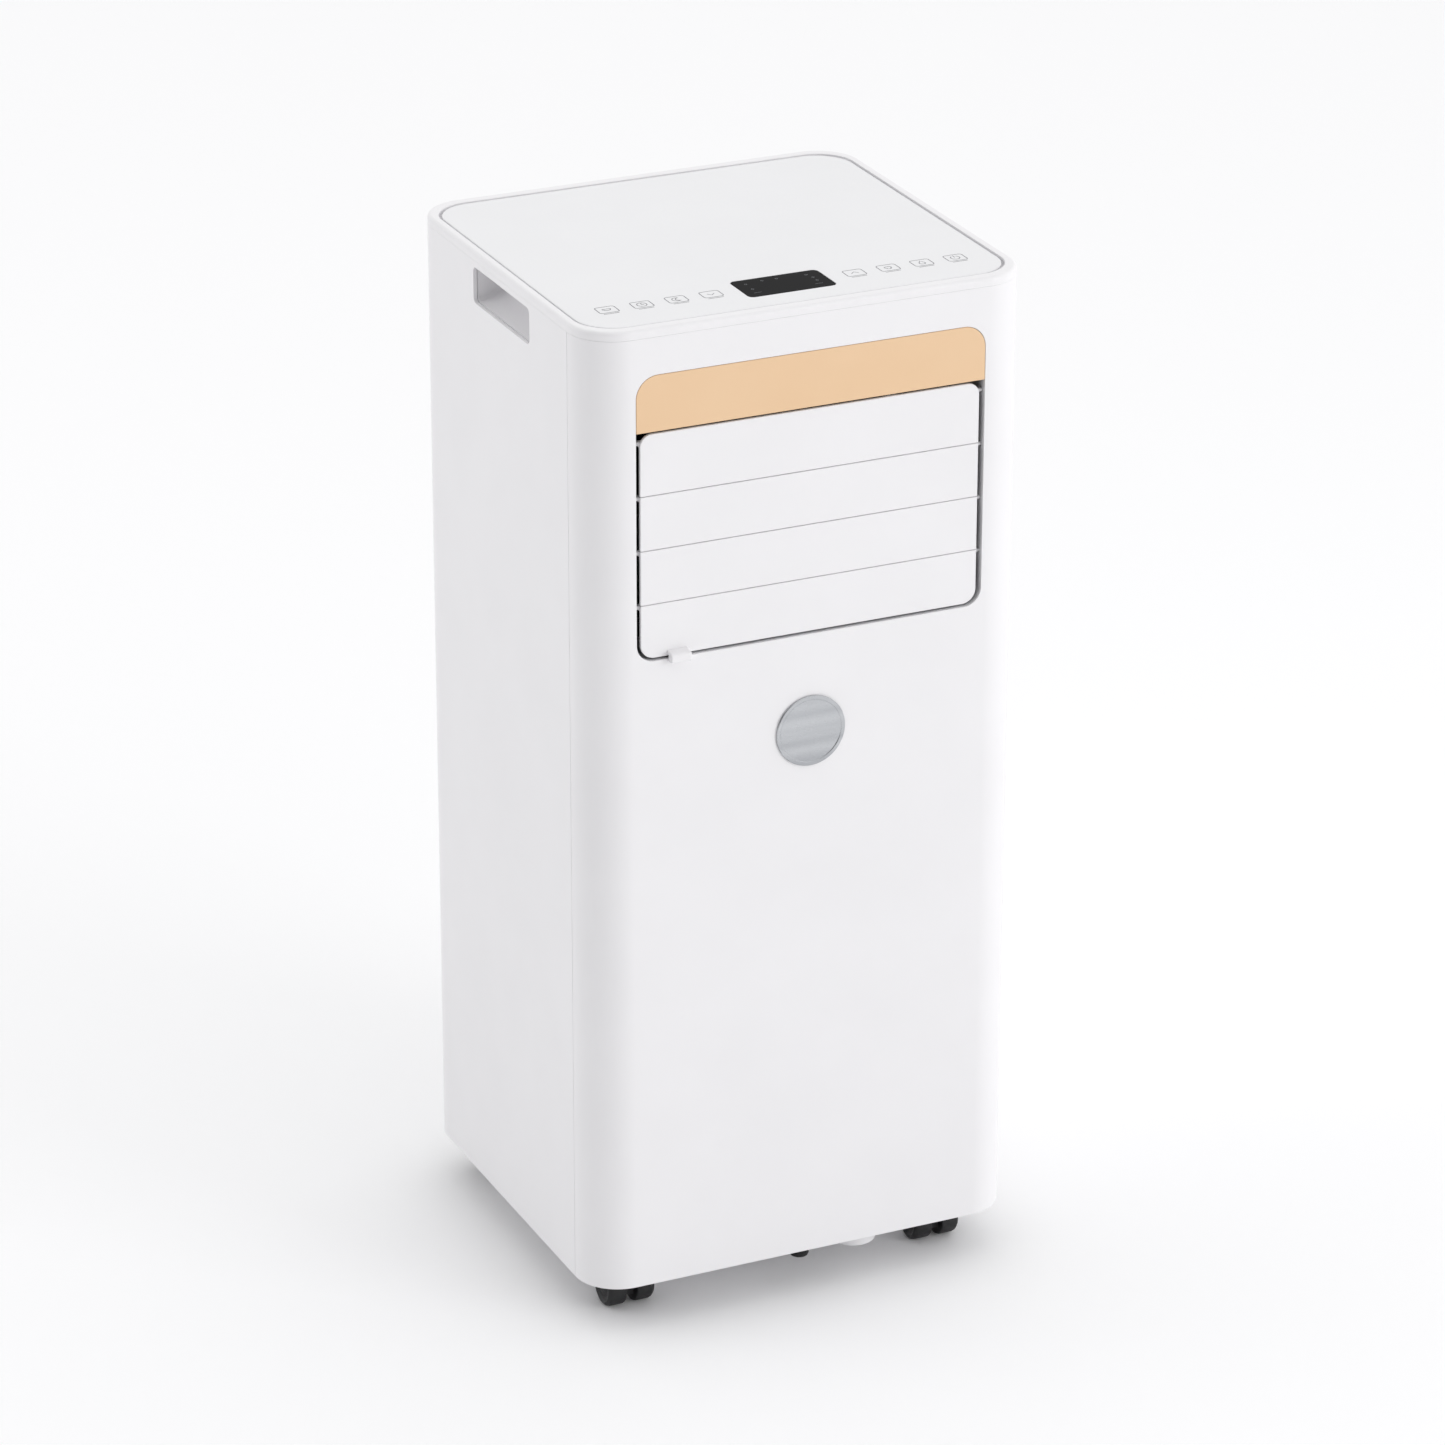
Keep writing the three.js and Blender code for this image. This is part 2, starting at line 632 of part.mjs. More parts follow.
function casingScrew() {
  const { headR, headHeight, shankR, length, slotWidth, slotDepth } = screw;
  const head = drumY(0, 0, headR, gap, headHeight, 10);
  const shank = drumY(0, 0, shankR, -length, gap + 0.2, 6);
  const slotHalf = slotWidth / 2;
  const slot = box(-shankR - 0.6, shankR + 0.6, headHeight - slotDepth, headHeight + 1, -slotHalf, slotHalf);
  return cut(join(head, shank), slot);
}

place("filter_grille", filterGrille(), whiteShell);
place("filter_screen", filterScreen(), greyPlastic);
place("intake_grille", slottedPlate(intakePort, 10, 2), whiteShell);
place("exhaust_collar", exhaustCollar(), whiteShell);
place("drain_cap", rearDrainCap(), blackRubber);
place("cord_gland", leadGland(), blackRubber);
casingScrewSpots.forEach(([x, z], i) =>
  place(`casing_screw_${i + 1}`, casingScrew(), galvanised, airConditioner, [x, halfD, z]),
);

// ---- Base and casters ----
function basePan() {
  const clear = wall + gap;
  const floorTopZ = pan.floorZ + pan.thick;
  const tray = cut(
    alongZ(bodyPlan(clear), pan.floorZ, pan.wallTopZ),
    alongZ(bodyPlan(clear + wall), floorTopZ, pan.wallTopZ + 1),
  );
  const plugTopZ = pan.floorZ + plug.bossHeight;
  const bosses = [post(plug.x, plug.y, plug.r + plug.bossWall, pan.floorZ, plugTopZ)];
  const bores = [post(plug.x, plug.y, plug.r - 1, pan.floorZ - 1, plugTopZ + 1, 12)];
  for (const side of [-1, 1])
    for (const end of [-1, 1]) {
      const x = side * caster.x;
      const y = end * caster.y;
      bosses.push(post(x, y, socket.r, pan.floorZ, pan.floorZ + socket.height, 12));
      bores.push(post(x, y, socket.boreR, pan.floorZ - 1, pan.floorZ + socket.boreDepth, 12));
    }
  const { x: sx, y: sy, r, wall: skin, taper } = sump;
  const well = post(sx, sy, r - taper, sump.bottomZ, pan.floorZ + 1, 24, r);
  const wellBore = post(sx, sy, r - taper - skin, sump.bottomZ + skin, floorTopZ + 1, 24, r - skin);
  return cut(join(tray, well, ...bosses), wellBore, ...bores);
}

function baseDrainPlug() {
  const headTop = pan.floorZ - plug.bottomZ - gap;
  const head = post(0, 0, plug.r - 1.5, 0, 3, 16, plug.r);
  return join(head, post(0, 0, plug.r, 3, headTop), post(0, 0, plug.r - 1.5, 3, headTop + 6, 12));
}

// The swivelling part of a caster: stem, crown and the web between the wheels, bored for the axle.
function casterFork() {
  const { crownTopZ, crownR, wheelR, trail, webW, stemR, axleR } = caster;
  const stem = post(0, 0, stemR, crownTopZ - 1, pan.floorZ + socket.boreDepth - 2, 12);
  const crown = post(0, 0, crownR, crownTopZ - 3, crownTopZ);
  const web = alongX(
    polygon([
      [-8, crownTopZ - 1],
      [-9, crownTopZ - 6],
      [trail - 8, 8],
      [trail, 4],
      [trail + 8, 6],
      [trail + 12, wheelR],
      [trail + 9, crownTopZ - 7],
      [8, crownTopZ - 1],
    ]),
    -webW / 2,
    webW / 2,
  );
  return cut(join(stem, crown, web), drumX(trail, wheelR, axleR + 0.6, -webW, webW, 8));
}

// Two wheels on one axle, about the axle's middle. The lowest facet lies level.
function casterWheels() {
  const sides = 24;
  const { wheelR, wheelW, webW, axleR } = caster;
  const inner = webW / 2 + 0.5;
  const outer = inner + wheelW;
  const facetedR = wheelR / Math.cos(Math.PI / sides); // so that the flats lie at the wheel's radius
  const right = drumX(0, 0, facetedR, inner, outer, sides);
  const wheels = join(right, drumX(0, 0, facetedR, -outer, -inner, sides));
  return join(moved(wheels, spinX(180 / sides)), drumX(0, 0, axleR, -inner - 1, inner + 1, 8));
}

place("base_pan", basePan(), whiteShell);
place("drain_plug", baseDrainPlug(), blackRubber, airConditioner, [plug.x, plug.y, plug.bottomZ]);
const casterSpots = { front_left: [-1, -1], front_right: [1, -1], rear_left: [-1, 1], rear_right: [1, 1] };
for (const [spot, [side, end]] of Object.entries(casterSpots)) {
  const group = subassembly(side * caster.x, end * caster.y, 0);
  place(`caster_fork_${spot}`, casterFork(), blackPlastic, group);
  place(`caster_wheels_${spot}`, casterWheels(), blackPlastic, group, [0, caster.trail, caster.wheelR]);
}

// ---- Refrigeration ----
const compressor = { x: -66, y: -42, r: 50, plateZ: 52, topZ: 238, plateReach: 14, plateThick: 3 };
compressor.feet = [30, 150, 270]; // degrees round the can
compressor.footReach = 53;
const terminalCap = { x: 6, r: 18, topR: 14, height: 20 };
const capacitor = { x: -128, y: -60, r: 16, height: 70 };
const accumulator = { x: -124, y: 22, r: 20, bottomZ: 80, topZ: 205 };
const drier = { x: -131, y: 68, r: 9, bottomZ: 120, topZ: 200 };
const coil = { halfW: 116, frontY: 98, rearY: 126 };
const suctionX = 131;
const pipeY = (coil.frontY + coil.rearY) / 2; // the pipes rise beside the middle of the coils
const suctionZ = 300; // the height of the suction pipe's level run
const dischargeZ = 276;
const liquidZ = 460;

function compressorShell() {
  const c = compressor;
  const can = turned([
    [0, c.plateZ - c.plateThick],
    [c.r * 0.8, c.plateZ],
    [c.r, c.plateZ + 14],
    [c.r, c.topZ - 28],
    [c.r * 0.86, c.topZ - 10],
    [c.r * 0.5, c.topZ - 2],
    [0, c.topZ],
  ]);
  const plate = post(0, 0, c.r + c.plateReach, c.plateZ - c.plateThick, c.plateZ, 12);
  return moved(join(can, plate), shift(c.x, c.y, 0));
}

// A closed vessel with domed ends on an upright axis.
function vessel({ x, y, r, bottomZ, topZ }, neckR, shoulder, sides) {
  const profile = [
    [0, bottomZ],
    [neckR, bottomZ],
    [r, bottomZ + shoulder],
    [r, topZ - shoulder],
    [neckR, topZ],
    [0, topZ],
  ];
  return moved(turned(profile, sides), shift(x, y, 0));
}

// Fin block, end plates and the return bends beyond them.
function coilBlock(bottomZ, topZ) {
  const bendPitch = 24;
  const parts = [];
  for (const side of [-1, 1]) {
    const span = (from, to) => [Math.min(side * from, side * to), Math.max(side * from, side * to)];
    const plate = span(coil.halfW - 0.1, coil.halfW + 1.5); // overlaps the block a little, so that they join
    parts.push(box(...plate, coil.frontY - 3, coil.rearY, bottomZ - 2, topZ + 2));
    for (let z = bottomZ + 14; z < topZ - 10; z += bendPitch)
      parts.push(box(...span(coil.halfW + 1, coil.halfW + 8), coil.frontY + 7, coil.rearY - 7, z, z + 7));
  }
  return join(box(-coil.halfW, coil.halfW, coil.frontY, coil.rearY, bottomZ, topZ), ...parts);
}

place("compressor", compressorShell(), paintedSteel);
compressor.feet.forEach((degrees, i) => {
  const angle = THREE.MathUtils.degToRad(degrees);
  const x = compressor.x + compressor.footReach * Math.cos(angle);
  const y = compressor.y + compressor.footReach * Math.sin(angle);
  const bottomZ = pan.floorZ + pan.thick + gap;
  const plateBottomZ = compressor.plateZ - compressor.plateThick;
  const grommet = post(0, 0, 9, 0, plateBottomZ - gap - bottomZ, 12, 7);
  place(`compressor_grommet_${i + 1}`, grommet, blackRubber, airConditioner, [x, y, bottomZ]);
});
const terminalCover = post(0, 0, terminalCap.r, 0, terminalCap.height, 16, terminalCap.topR);
place("terminal_cover", terminalCover, blackPlastic, airConditioner, [
  compressor.x + terminalCap.x,
  compressor.y,
  compressor.topZ + gap,
]);
place("accumulator", vessel(accumulator, 8, 14, 16), paintedSteel);
place("filter_drier", vessel(drier, 3, 12, 12), copper);
place("condenser_coil", coilBlock(62, 256), finAluminium);
place("evaporator_coil", coilBlock(480, 658), finAluminium);

const suctionRoute = [
  [suctionX, pipeY, 490],
  [suctionX, pipeY, suctionZ],
  [suctionX, -2, suctionZ],
  [accumulator.x, -2, suctionZ],
  [accumulator.x, accumulator.y + 6, suctionZ],
  [accumulator.x, accumulator.y + 6, accumulator.topZ + gap],
];
const dischargeRoute = [
  [compressor.x - 34, compressor.y, compressor.topZ - 4],
  [compressor.x - 34, compressor.y, dischargeZ],
  [compressor.x - 34, 84, dischargeZ],
  [-132, 84, dischargeZ],
  [-132, pipeY, dischargeZ],
  [-132, pipeY, 220],
];
const liquidRoute = [
  [drier.x, drier.y, drier.topZ + gap],
  [drier.x, drier.y, liquidZ],
  [drier.x, pipeY, liquidZ],
  [drier.x, pipeY, 490],
];
place("suction_pipe", pipe(suctionRoute, 4.5, 14, 34), copper);
place("discharge_pipe", pipe(dischargeRoute, 3.5, 10, 28), copper);
place("liquid_line", pipe(liquidRoute, 2, 9, 16), copper);

// ---- Air path ----
const scrollSkin = 2;
const scrollClear = 6; // from the wheel to the scroll's wall where they are closest
const upperFan = { x: 0, z: 489, r: 66, growth: 20, frontY: -44, rearY: 34, blades: 12 };
const lowerFan = { x: 62, z: 180, r: 52, growth: 16, frontY: 12, rearY: 66, blades: 10 };
const exhaustBox = { x0: -68, x1: 121, y0: 10, y1: 111, z0: 262, z1: deckZ - gap };

// The scroll's outline: its radius grows evenly as it goes round the wheel.
function volute(fan, offset) {
  const steps = 24;
  const points = [];
  for (let i = 0; i <= steps; i++) {
    const r = fan.r + scrollClear + fan.growth * (i / steps) + offset;
    const angle = Math.PI * (0.25 - 1.75 * (i / steps));
    points.push([fan.x + r * Math.cos(angle), fan.z + r * Math.sin(angle)]);
  }
  return polygon(points);
}

function scrollHousing(fan, neckOuter, neckInner) {
  const { x, z, frontY, rearY } = fan;
  return cut(
    join(alongY(volute(fan, scrollSkin), frontY, rearY), neckOuter),
    alongY(volute(fan, 0), frontY + scrollSkin, rearY - scrollSkin),
    neckInner,
    drumY(x, z, fan.r * 0.8, rearY - scrollSkin - 1, rearY + 1),
    drumY(x, z, 14, frontY - 1, frontY + scrollSkin + 1, 16),
  );
}

// A plate and a hub at the motor's end, and a ring at the inlet, joined by blades that run along the axle.
function blowerWheel(fan) {
  const clear = 6;
  const y0 = fan.frontY + clear;
  const y1 = fan.rearY - clear;
  const plate = drumY(0, 0, fan.r, y0, y0 + 2);
  const ring = cut(drumY(0, 0, fan.r, y1 - 4, y1), drumY(0, 0, fan.r * 0.84, y1 - 5, y1 + 1));
  const hub = drumY(0, 0, 12, y0, y0 + 22, 12);
  const shaftBore = drumY(0, 0, 4.4, y0 - 1, y0 + 18, 12);
  const blade = box(-1, 1, y0 + 1, y1 - 1, fan.r * 0.86, fan.r * 0.96);
  const blades = [];
  for (let i = 0; i < fan.blades; i++) blades.push(moved(blade, spinY((360 / fan.blades) * i)));
  return cut(join(plate, ring, hub, ...blades), shaftBore);
}

// The can in front of the scroll, its mounting flange and the shaft that carries the wheel.
function fanMotor(fan, r, length) {
  const rear = fan.frontY - gap;
  const can = drumY(0, 0, r, rear - length, rear - 2, 20);
  return join(can, drumY(0, 0, r + 7, rear - 3, rear, 20), drumY(0, 0, 4, rear - 1, fan.frontY + 22, 12));
}

function upperScroll() {
  const { frontY, rearY } = upperFan;
  const plenum = { x: 112, bottomZ: 550, topZ: outletFrame.topZ - 4 };
  plenum.frontY = outletFrame.rearY + guardDepth + gap;
  const outer = box(-plenum.x, plenum.x, plenum.frontY, rearY, plenum.bottomZ, plenum.topZ);
  const inner = box(
    -plenum.x + scrollSkin,
    plenum.x - scrollSkin,
    plenum.frontY - 1,
    rearY - scrollSkin,
    plenum.bottomZ + scrollSkin,
    plenum.topZ - scrollSkin,
  );
  const throat = box(-30, 40, frontY + scrollSkin, rearY - scrollSkin, 530, plenum.bottomZ + 4);
  return scrollHousing(upperFan, outer, join(inner, throat));
}

function lowerScroll() {
  const { frontY, rearY } = lowerFan;
  const neck = { x0: 36, x1: 119, z0: 215, z1: exhaustBox.z0 - gap };
  const outer = box(neck.x0, neck.x1, frontY, rearY, neck.z0, neck.z1);
  const inner = box(
    neck.x0 + scrollSkin,
    neck.x1 - scrollSkin,
    frontY + scrollSkin,
    rearY - scrollSkin,
    neck.z0 - 2,
    neck.z1 + 1,
  );
  return scrollHousing(lowerFan, outer, inner);
}

function exhaustDuct() {
  const { x0, x1, y0, y1, z0, z1 } = exhaustBox;
  const s = scrollSkin;
  return cut(
    box(x0, x1, y0, y1, z0, z1),
    box(x0 + s, x1 - s, y0 + s, y1 - s, z0 + s, z1 - s),
    box(38, 117, lowerFan.frontY + s, lowerFan.rearY - s, z0 - 1, z0 + s + 1),
    drumY(0, exhaust.z, exhaust.tubeR - 2, y1 - s - 1, y1 + 1, 36),
  );
}

const deck = { skin: 2.5, rim: 7, rimThick: 2 };

// The chamber floor under the evaporator, with holes for the two pipes that pass it.
function evaporatorDeck() {
  const clear = wall + gap;
  const topZ = deckZ + deck.rim;
  return cut(
    alongZ(bodyPlan(clear), deckZ, topZ),
    alongZ(bodyPlan(clear + deck.rimThick), deckZ + deck.skin, topZ + 1),
    post(suctionX, pipeY, 6.5, deckZ - 1, topZ + 1, 12),
    post(drier.x, drier.y, 4, deckZ - 1, topZ + 1, 12),
  );
}

place("upper_scroll", upperScroll(), blackPlastic);
place("upper_blower_wheel", blowerWheel(upperFan), blackPlastic, airConditioner, [upperFan.x, 0, upperFan.z]);
place("upper_fan_motor", fanMotor(upperFan, 30, 44), galvanised, airConditioner, [upperFan.x, 0, upperFan.z]);
place("lower_scroll", lowerScroll(), blackPlastic);
place("lower_blower_wheel", blowerWheel(lowerFan), blackPlastic, airConditioner, [lowerFan.x, 0, lowerFan.z]);
place("lower_fan_motor", fanMotor(lowerFan, 28, 38), galvanised, airConditioner, [lowerFan.x, 0, lowerFan.z]);
place("exhaust_duct", exhaustDuct(), greyPlastic);
place("deck", evaporatorDeck(), greyPlastic);

// ---- Electrics ----
const controlBox = { x0: 114, x1: 146, y0: -92, y1: 24, z0: 412, z1: 540, skin: 2 };

function openBox() {
  const { x0, x1, y0, y1, z0, z1, skin } = controlBox;
  return cut(box(x0, x1, y0, y1, z0, z1), box(x0 - 1, x1 - skin, y0 + skin, y1 - skin, z0 + skin, z1 - skin));
}

function mainBoard() {
  const { x1, y0, y1, z0, z1 } = controlBox;
  const faceX = x1 - 10;
  const relays = [];
  for (let i = 0; i < 3; i++)
    relays.push(box(faceX - 14, faceX + 0.1, y0 + 14 + 26 * i, y0 + 32 + 26 * i, z0 + 16, z0 + 34));
  const transformer = box(faceX - 18, faceX + 0.1, y0 + 20, y0 + 56, z0 + 66, z0 + 100);
  return join(box(faceX, faceX + 1.6, y0 + 6, y1 - 6, z0 + 8, z1 - 8), transformer, ...relays);
}

place("control_box", openBox(), galvanised);
place("main_board", mainBoard(), circuitBoard);
const capacitorAt = [capacitor.x, capacitor.y, deckZ + deck.skin + gap];
place("run_capacitor", post(0, 0, capacitor.r, 0, capacitor.height), galvanised, airConditioner, capacitorAt);

export default airConditioner;
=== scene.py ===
# Portable air conditioner: the moulded shells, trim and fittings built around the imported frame.
import json
import math
import bmesh
import bpy
from mathutils import Matrix, Vector


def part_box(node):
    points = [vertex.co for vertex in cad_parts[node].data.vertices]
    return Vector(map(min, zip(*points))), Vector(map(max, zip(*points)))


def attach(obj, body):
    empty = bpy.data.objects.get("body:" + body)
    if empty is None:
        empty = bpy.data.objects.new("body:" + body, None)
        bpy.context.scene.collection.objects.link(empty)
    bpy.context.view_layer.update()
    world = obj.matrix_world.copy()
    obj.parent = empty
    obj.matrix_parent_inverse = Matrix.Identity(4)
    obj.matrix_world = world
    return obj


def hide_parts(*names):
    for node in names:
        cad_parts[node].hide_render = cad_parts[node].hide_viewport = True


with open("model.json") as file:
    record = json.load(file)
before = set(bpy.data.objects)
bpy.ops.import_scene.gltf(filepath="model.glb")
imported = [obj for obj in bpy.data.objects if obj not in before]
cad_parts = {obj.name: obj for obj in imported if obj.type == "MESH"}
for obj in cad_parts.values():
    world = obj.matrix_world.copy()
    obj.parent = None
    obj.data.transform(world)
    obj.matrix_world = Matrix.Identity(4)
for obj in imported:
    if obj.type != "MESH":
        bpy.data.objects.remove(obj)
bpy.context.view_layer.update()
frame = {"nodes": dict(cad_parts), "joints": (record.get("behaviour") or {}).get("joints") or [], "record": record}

mm = 0.001


# the middle of a box in x, y and z
def middle(box):
    return tuple((box[i] + box[i + 1]) / 2 for i in (0, 2, 4))


# corners of a CAD node in millimetres: x0, x1, y0, y1, z0, z1
def boxOf(node):
    low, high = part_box(node)
    return [value / mm for pair in zip(low, high) for value in pair]


front = boxOf("front_casing")
rear = boxOf("rear_casing")
bodyX, frontY, rearY = front[1], front[2], rear[3]
skirtZ, casingTopZ = front[4], front[5]
cornerR = 30

# materials


def linear(hexColour):
    channels = [int(hexColour[i:i + 2], 16) / 255 for i in (0, 2, 4)]
    return [c / 12.92 if c <= 0.04045 else ((c + 0.055) / 1.055) ** 2.4 for c in channels] + [1.0]


def addNode(tree, kind, settings=None, **links):
    node = tree.nodes.new(kind)
    for name, value in (settings or {}).items():
        if hasattr(node, name):
            setattr(node, name, value)
        else:
            node.inputs[name].default_value = value
    for name, source in links.items():
        socket = next(s for s in node.inputs if s.name.replace(" ", "") == name and s.enabled)
        tree.links.new(source, socket)
    return node


# A surface with faint colour drift, roughness drift and a fine grain in the bump.
# grainSize is that of the moulded texture in mm; stretch pulls it out along an axis, as brushing does.
def surface(name, colour, shade, roughness, grainSize, more):
    material = bpy.data.materials.new(name)
    material.use_nodes = True
    tree = material.node_tree
    tree.nodes.clear()
    coordinates = addNode(tree, "ShaderNodeTexCoord").outputs["Object"]
    stretched = addNode(tree, "ShaderNodeMapping", {"Scale": more.get("stretch", (1, 1, 1))},
                        Vector=coordinates)
    grain = addNode(
        tree, "ShaderNodeTexNoise",
        {"Scale": 1 / (grainSize * mm), "Detail": 3.0, "Roughness": 0.55},
        Vector=stretched.outputs["Vector"],
    )
    drift = addNode(tree, "ShaderNodeTexNoise", {"Scale": 1 / (more.get("drift", 60) * mm), "Detail": 2.0},
                    Vector=stretched.outputs["Vector"])
    tone = addNode(tree, "ShaderNodeValToRGB", Fac=drift.outputs["Fac"])
    tone.color_ramp.elements[0].position = 0.3
    tone.color_ramp.elements[1].position = 0.7
    tone.color_ramp.elements[0].color = linear(shade)
    tone.color_ramp.elements[1].color = linear(colour)
    low, high = roughness
    rough = addNode(tree, "ShaderNodeMapRange",
                    {"From Min": 0.3, "From Max": 0.7, "To Min": low, "To Max": high},
                    Value=grain.outputs["Fac"])
    bump = addNode(tree, "ShaderNodeBump",
                   {"Strength": more.get("bump", 0.1), "Distance": more.get("depth", 0.02) * mm},
                   Height=grain.outputs["Fac"])
    shader = addNode(
        tree, "ShaderNodeBsdfPrincipled",
        {"Metallic": more.get("metal", 0.0), "IOR": more.get("ior", 1.5),
         "Coat Weight": more.get("coat", 0.0),
         "Specular IOR Level": more.get("specular", 0.5)},
        BaseColor=tone.outputs["Color"], Roughness=rough.outputs["Result"], Normal=bump.outputs["Normal"],
    )
    addNode(tree, "ShaderNodeOutputMaterial", Surface=shader.outputs["BSDF"])
    return material


# name: CAD material slot, colour, darker shade, roughness range, grain in mm, and what else it needs
finishes = {
    # injection-moulded ABS with a fine spark-eroded texture: soft, slightly broken highlights
    "moulded ABS white": ("white_shell", "EFEEF0", "EDECEE", (0.34, 0.44), 0.8, {"ior": 1.53}),
    # smooth acrylic-faced top: a clearer reflection than the shell
    "acrylic panel white": ("white_panel", "EAEAEC", "E8E8EA", (0.2, 0.26), 1.5, {"ior": 1.49}),
    # satin lacquer on ABS: warm and even
    "satin lacquer tan": ("tan_trim", "EBC8A1", "E9C59D", (0.38, 0.48), 0.6, {"ior": 1.5}),
    # brushed aluminium: fine lines drawn out sideways (0.25 mm apart, coarser than real so that they show)
    "brushed aluminium": ("brushed_metal", "C4C6C9", "A9ABAF", (0.22, 0.42), 0.25,
                          {"stretch": (0.04, 1, 1), "bump": 0.25, "metal": 1.0, "drift": 14}),
    # tinted display window: near black and glossy, its reflections kept low as by an anti-glare coat
    "smoked polycarbonate": ("smoked_glass", "0D0D0F", "0A0A0C", (0.05, 0.08), 4,
                             {"ior": 1.58, "bump": 0.02, "specular": 0.01}),
    # pad-printed ink: flat and matt
    "printed grey ink": ("grey_plastic", "68686D", "606065", (0.6, 0.7), 0.4, {}),
    "printed pale ink": ("grey_plastic", "6C6E73", "5F6166", (0.5, 0.6), 0.4, {}),
    # glass-filled nylon: matt black with a visible grain
    "nylon black": ("black_plastic", "1B1B1D", "141416", (0.45, 0.62), 0.7, {"bump": 0.2}),
    # filter and ducts: softer and greyer than the shell
    "polypropylene grey": ("grey_plastic", "C4C5C8", "BDBEC1", (0.48, 0.6), 0.8, {"bump": 0.15}),
    # a paler moulding round the louvre, which catches the light in the gaps beside the slats
    "pale grey ABS": ("grey_plastic", "E2E2E5", "DEDEE1", (0.4, 0.5), 0.8, {}),
    # drain fittings and compressor feet: the dullest black
    "rubber black": ("black_rubber", "191919", "121212", (0.72, 0.85), 0.5, {"bump": 0.25}),
    # metals: plating with small spangles, thin enamel over sheet, drawn tube and rolled fins
    "zinc-plated steel": ("galvanised_steel", "B9BCBE", "9DA1A5", (0.28, 0.45), 2.5,
                          {"metal": 1.0, "drift": 9}),
    "enamelled steel black": ("painted_steel", "202124", "17181A", (0.28, 0.4), 1.2, {"coat": 0.2}),
    "drawn copper": ("copper", "C98A62", "A8673F", (0.24, 0.4), 1.5, {"metal": 1.0, "drift": 25}),
    "fin stock aluminium": ("coil_fins", "CFD2D4", "B4B8BB", (0.3, 0.45), 0.6, {"metal": 1.0, "drift": 18}),
    "lacquered circuit board": ("circuit_board", "1F6A42", "184F33", (0.3, 0.45), 0.9, {}),
}
made = {name: surface(name, *look[1:]) for name, look in finishes.items()}
white, nylon, fin = "moulded ABS white", "nylon black", "fin stock aluminium"
print("stage: materials", len(made))

# outlines, in millimetres


def roundedRect(x0, y0, x1, y1, lowR, highR=None, steps=12):
    highR = lowR if highR is None else highR
    corners = [(x1 - lowR, y0 + lowR, lowR), (x1 - highR, y1 - highR, highR),
               (x0 + highR, y1 - highR, highR), (x0 + lowR, y0 + lowR, lowR)]
    points = []
    for quarter, (cx, cy, r) in enumerate(corners):
        for i in range(steps + 1 if r > 0 else 1):
            angle = (quarter - 1 + i / steps) * math.pi / 2
            points.append((cx + r * math.cos(angle), cy + r * math.sin(angle)))
    return points


# a box seen along Y, inset all round
def faceOutline(box, lowR, highR=None, inset=0.0, steps=12):
    return roundedRect(box[0] + inset, box[4] + inset, box[1] - inset, box[5] - inset, lowR, highR, steps)


def bodyPlan(insetX, insetY=None, radius=None, steps=20):
    insetY = insetX if insetY is None else insetY
    radius = max(cornerR - insetX, 1) if radius is None else radius
    return roundedRect(-bodyX + insetX, frontY + insetY, bodyX - insetX, rearY - insetY, radius, steps=steps)


def quarterTurn(steps):
    return [i / steps * math.pi / 2 for i in range(steps + 1)]


def circlePoints(x, y, r, sides=48):
    turn = 2 * math.pi / sides
    return [(x + r * math.cos(i * turn), y + r * math.sin(i * turn)) for i in range(sides)]


# meshes


def linked(name, data):
    piece = bpy.data.objects.new(name, data)
    bpy.context.scene.collection.objects.link(piece)
    return piece


def meshFrom(name, bm):
    mesh = bpy.data.meshes.new(name)
    bm.to_mesh(mesh)
    bm.free()
    return mesh


# turns the faces of a form drawn in millimetres outwards and brings it to metres
def meshObject(name, bm, weld=0.0005):
    if weld:
        bmesh.ops.remove_doubles(bm, verts=bm.verts, dist=weld)
    bmesh.ops.recalc_face_normals(bm, faces=bm.faces)
    bmesh.ops.scale(bm, vec=(mm, mm, mm), verts=bm.verts)
    return linked(name, meshFrom(name, bm))


# rings of equal length joined into a skin; capped at both ends, or joined round when looped
def loft(name, rings, looped=False):
    bm = bmesh.new()
    verts = [[bm.verts.new(p) for p in ring] for ring in rings]
    count = len(rings[0])
    pairs = list(zip(verts, verts[1:])) + ([(verts[-1], verts[0])] if looped else [])
    for low, high in pairs:
        for i in range(count):
            j = (i + 1) % count
            bm.faces.new((low[i], low[j], high[j], high[i]))
    if not looped:
        bm.faces.new(list(reversed(verts[0])))
        bm.faces.new(verts[-1])
    return meshObject(name, bm)


def prism(name, points, axis, low, high):
    place = {"x": lambda p, d: (d, p[0], p[1]), "y": lambda p, d: (p[0], d, p[1]),
             "z": lambda p, d: (p[0], p[1], d)}
    return loft(name, [[place[axis](p, d) for p in points] for d in (low, high)])


def block(name, x0, x1, y0, y1, z0, z1):
    return prism(name, [(x0, y0), (x1, y0), (x1, y1), (x0, y1)], "z", z0, z1)


# a profile of (radius, distance) pairs turned about an axis through centre; closed when its ends meet
def turned(name, profile, centre, axis="z", sides=64):
    bm = bmesh.new()
    verts = [bm.verts.new((r, 0, d)) for r, d in profile]
    edges = [bm.edges.new(pair) for pair in zip(verts, verts[1:])]
    if profile[0][0] > 0:
        edges.append(bm.edges.new((verts[-1], verts[0])))
    bmesh.ops.spin(bm, geom=verts + edges, cent=(0, 0, 0), axis=(0, 0, 1), angle=2 * math.pi, steps=sides)
    turn = {"z": Matrix(), "y": Matrix.Rotation(-math.pi / 2, 4, "X"),
            "x": Matrix.Rotation(math.pi / 2, 4, "Y")}[axis]
    bmesh.ops.transform(bm, matrix=Matrix.Translation(centre) @ turn, verts=bm.verts)
    return meshObject(name, bm)


# the profile of a plain rod
def rod(r, start, end):
    return [(0, start), (r, start), (r, end), (0, end)]


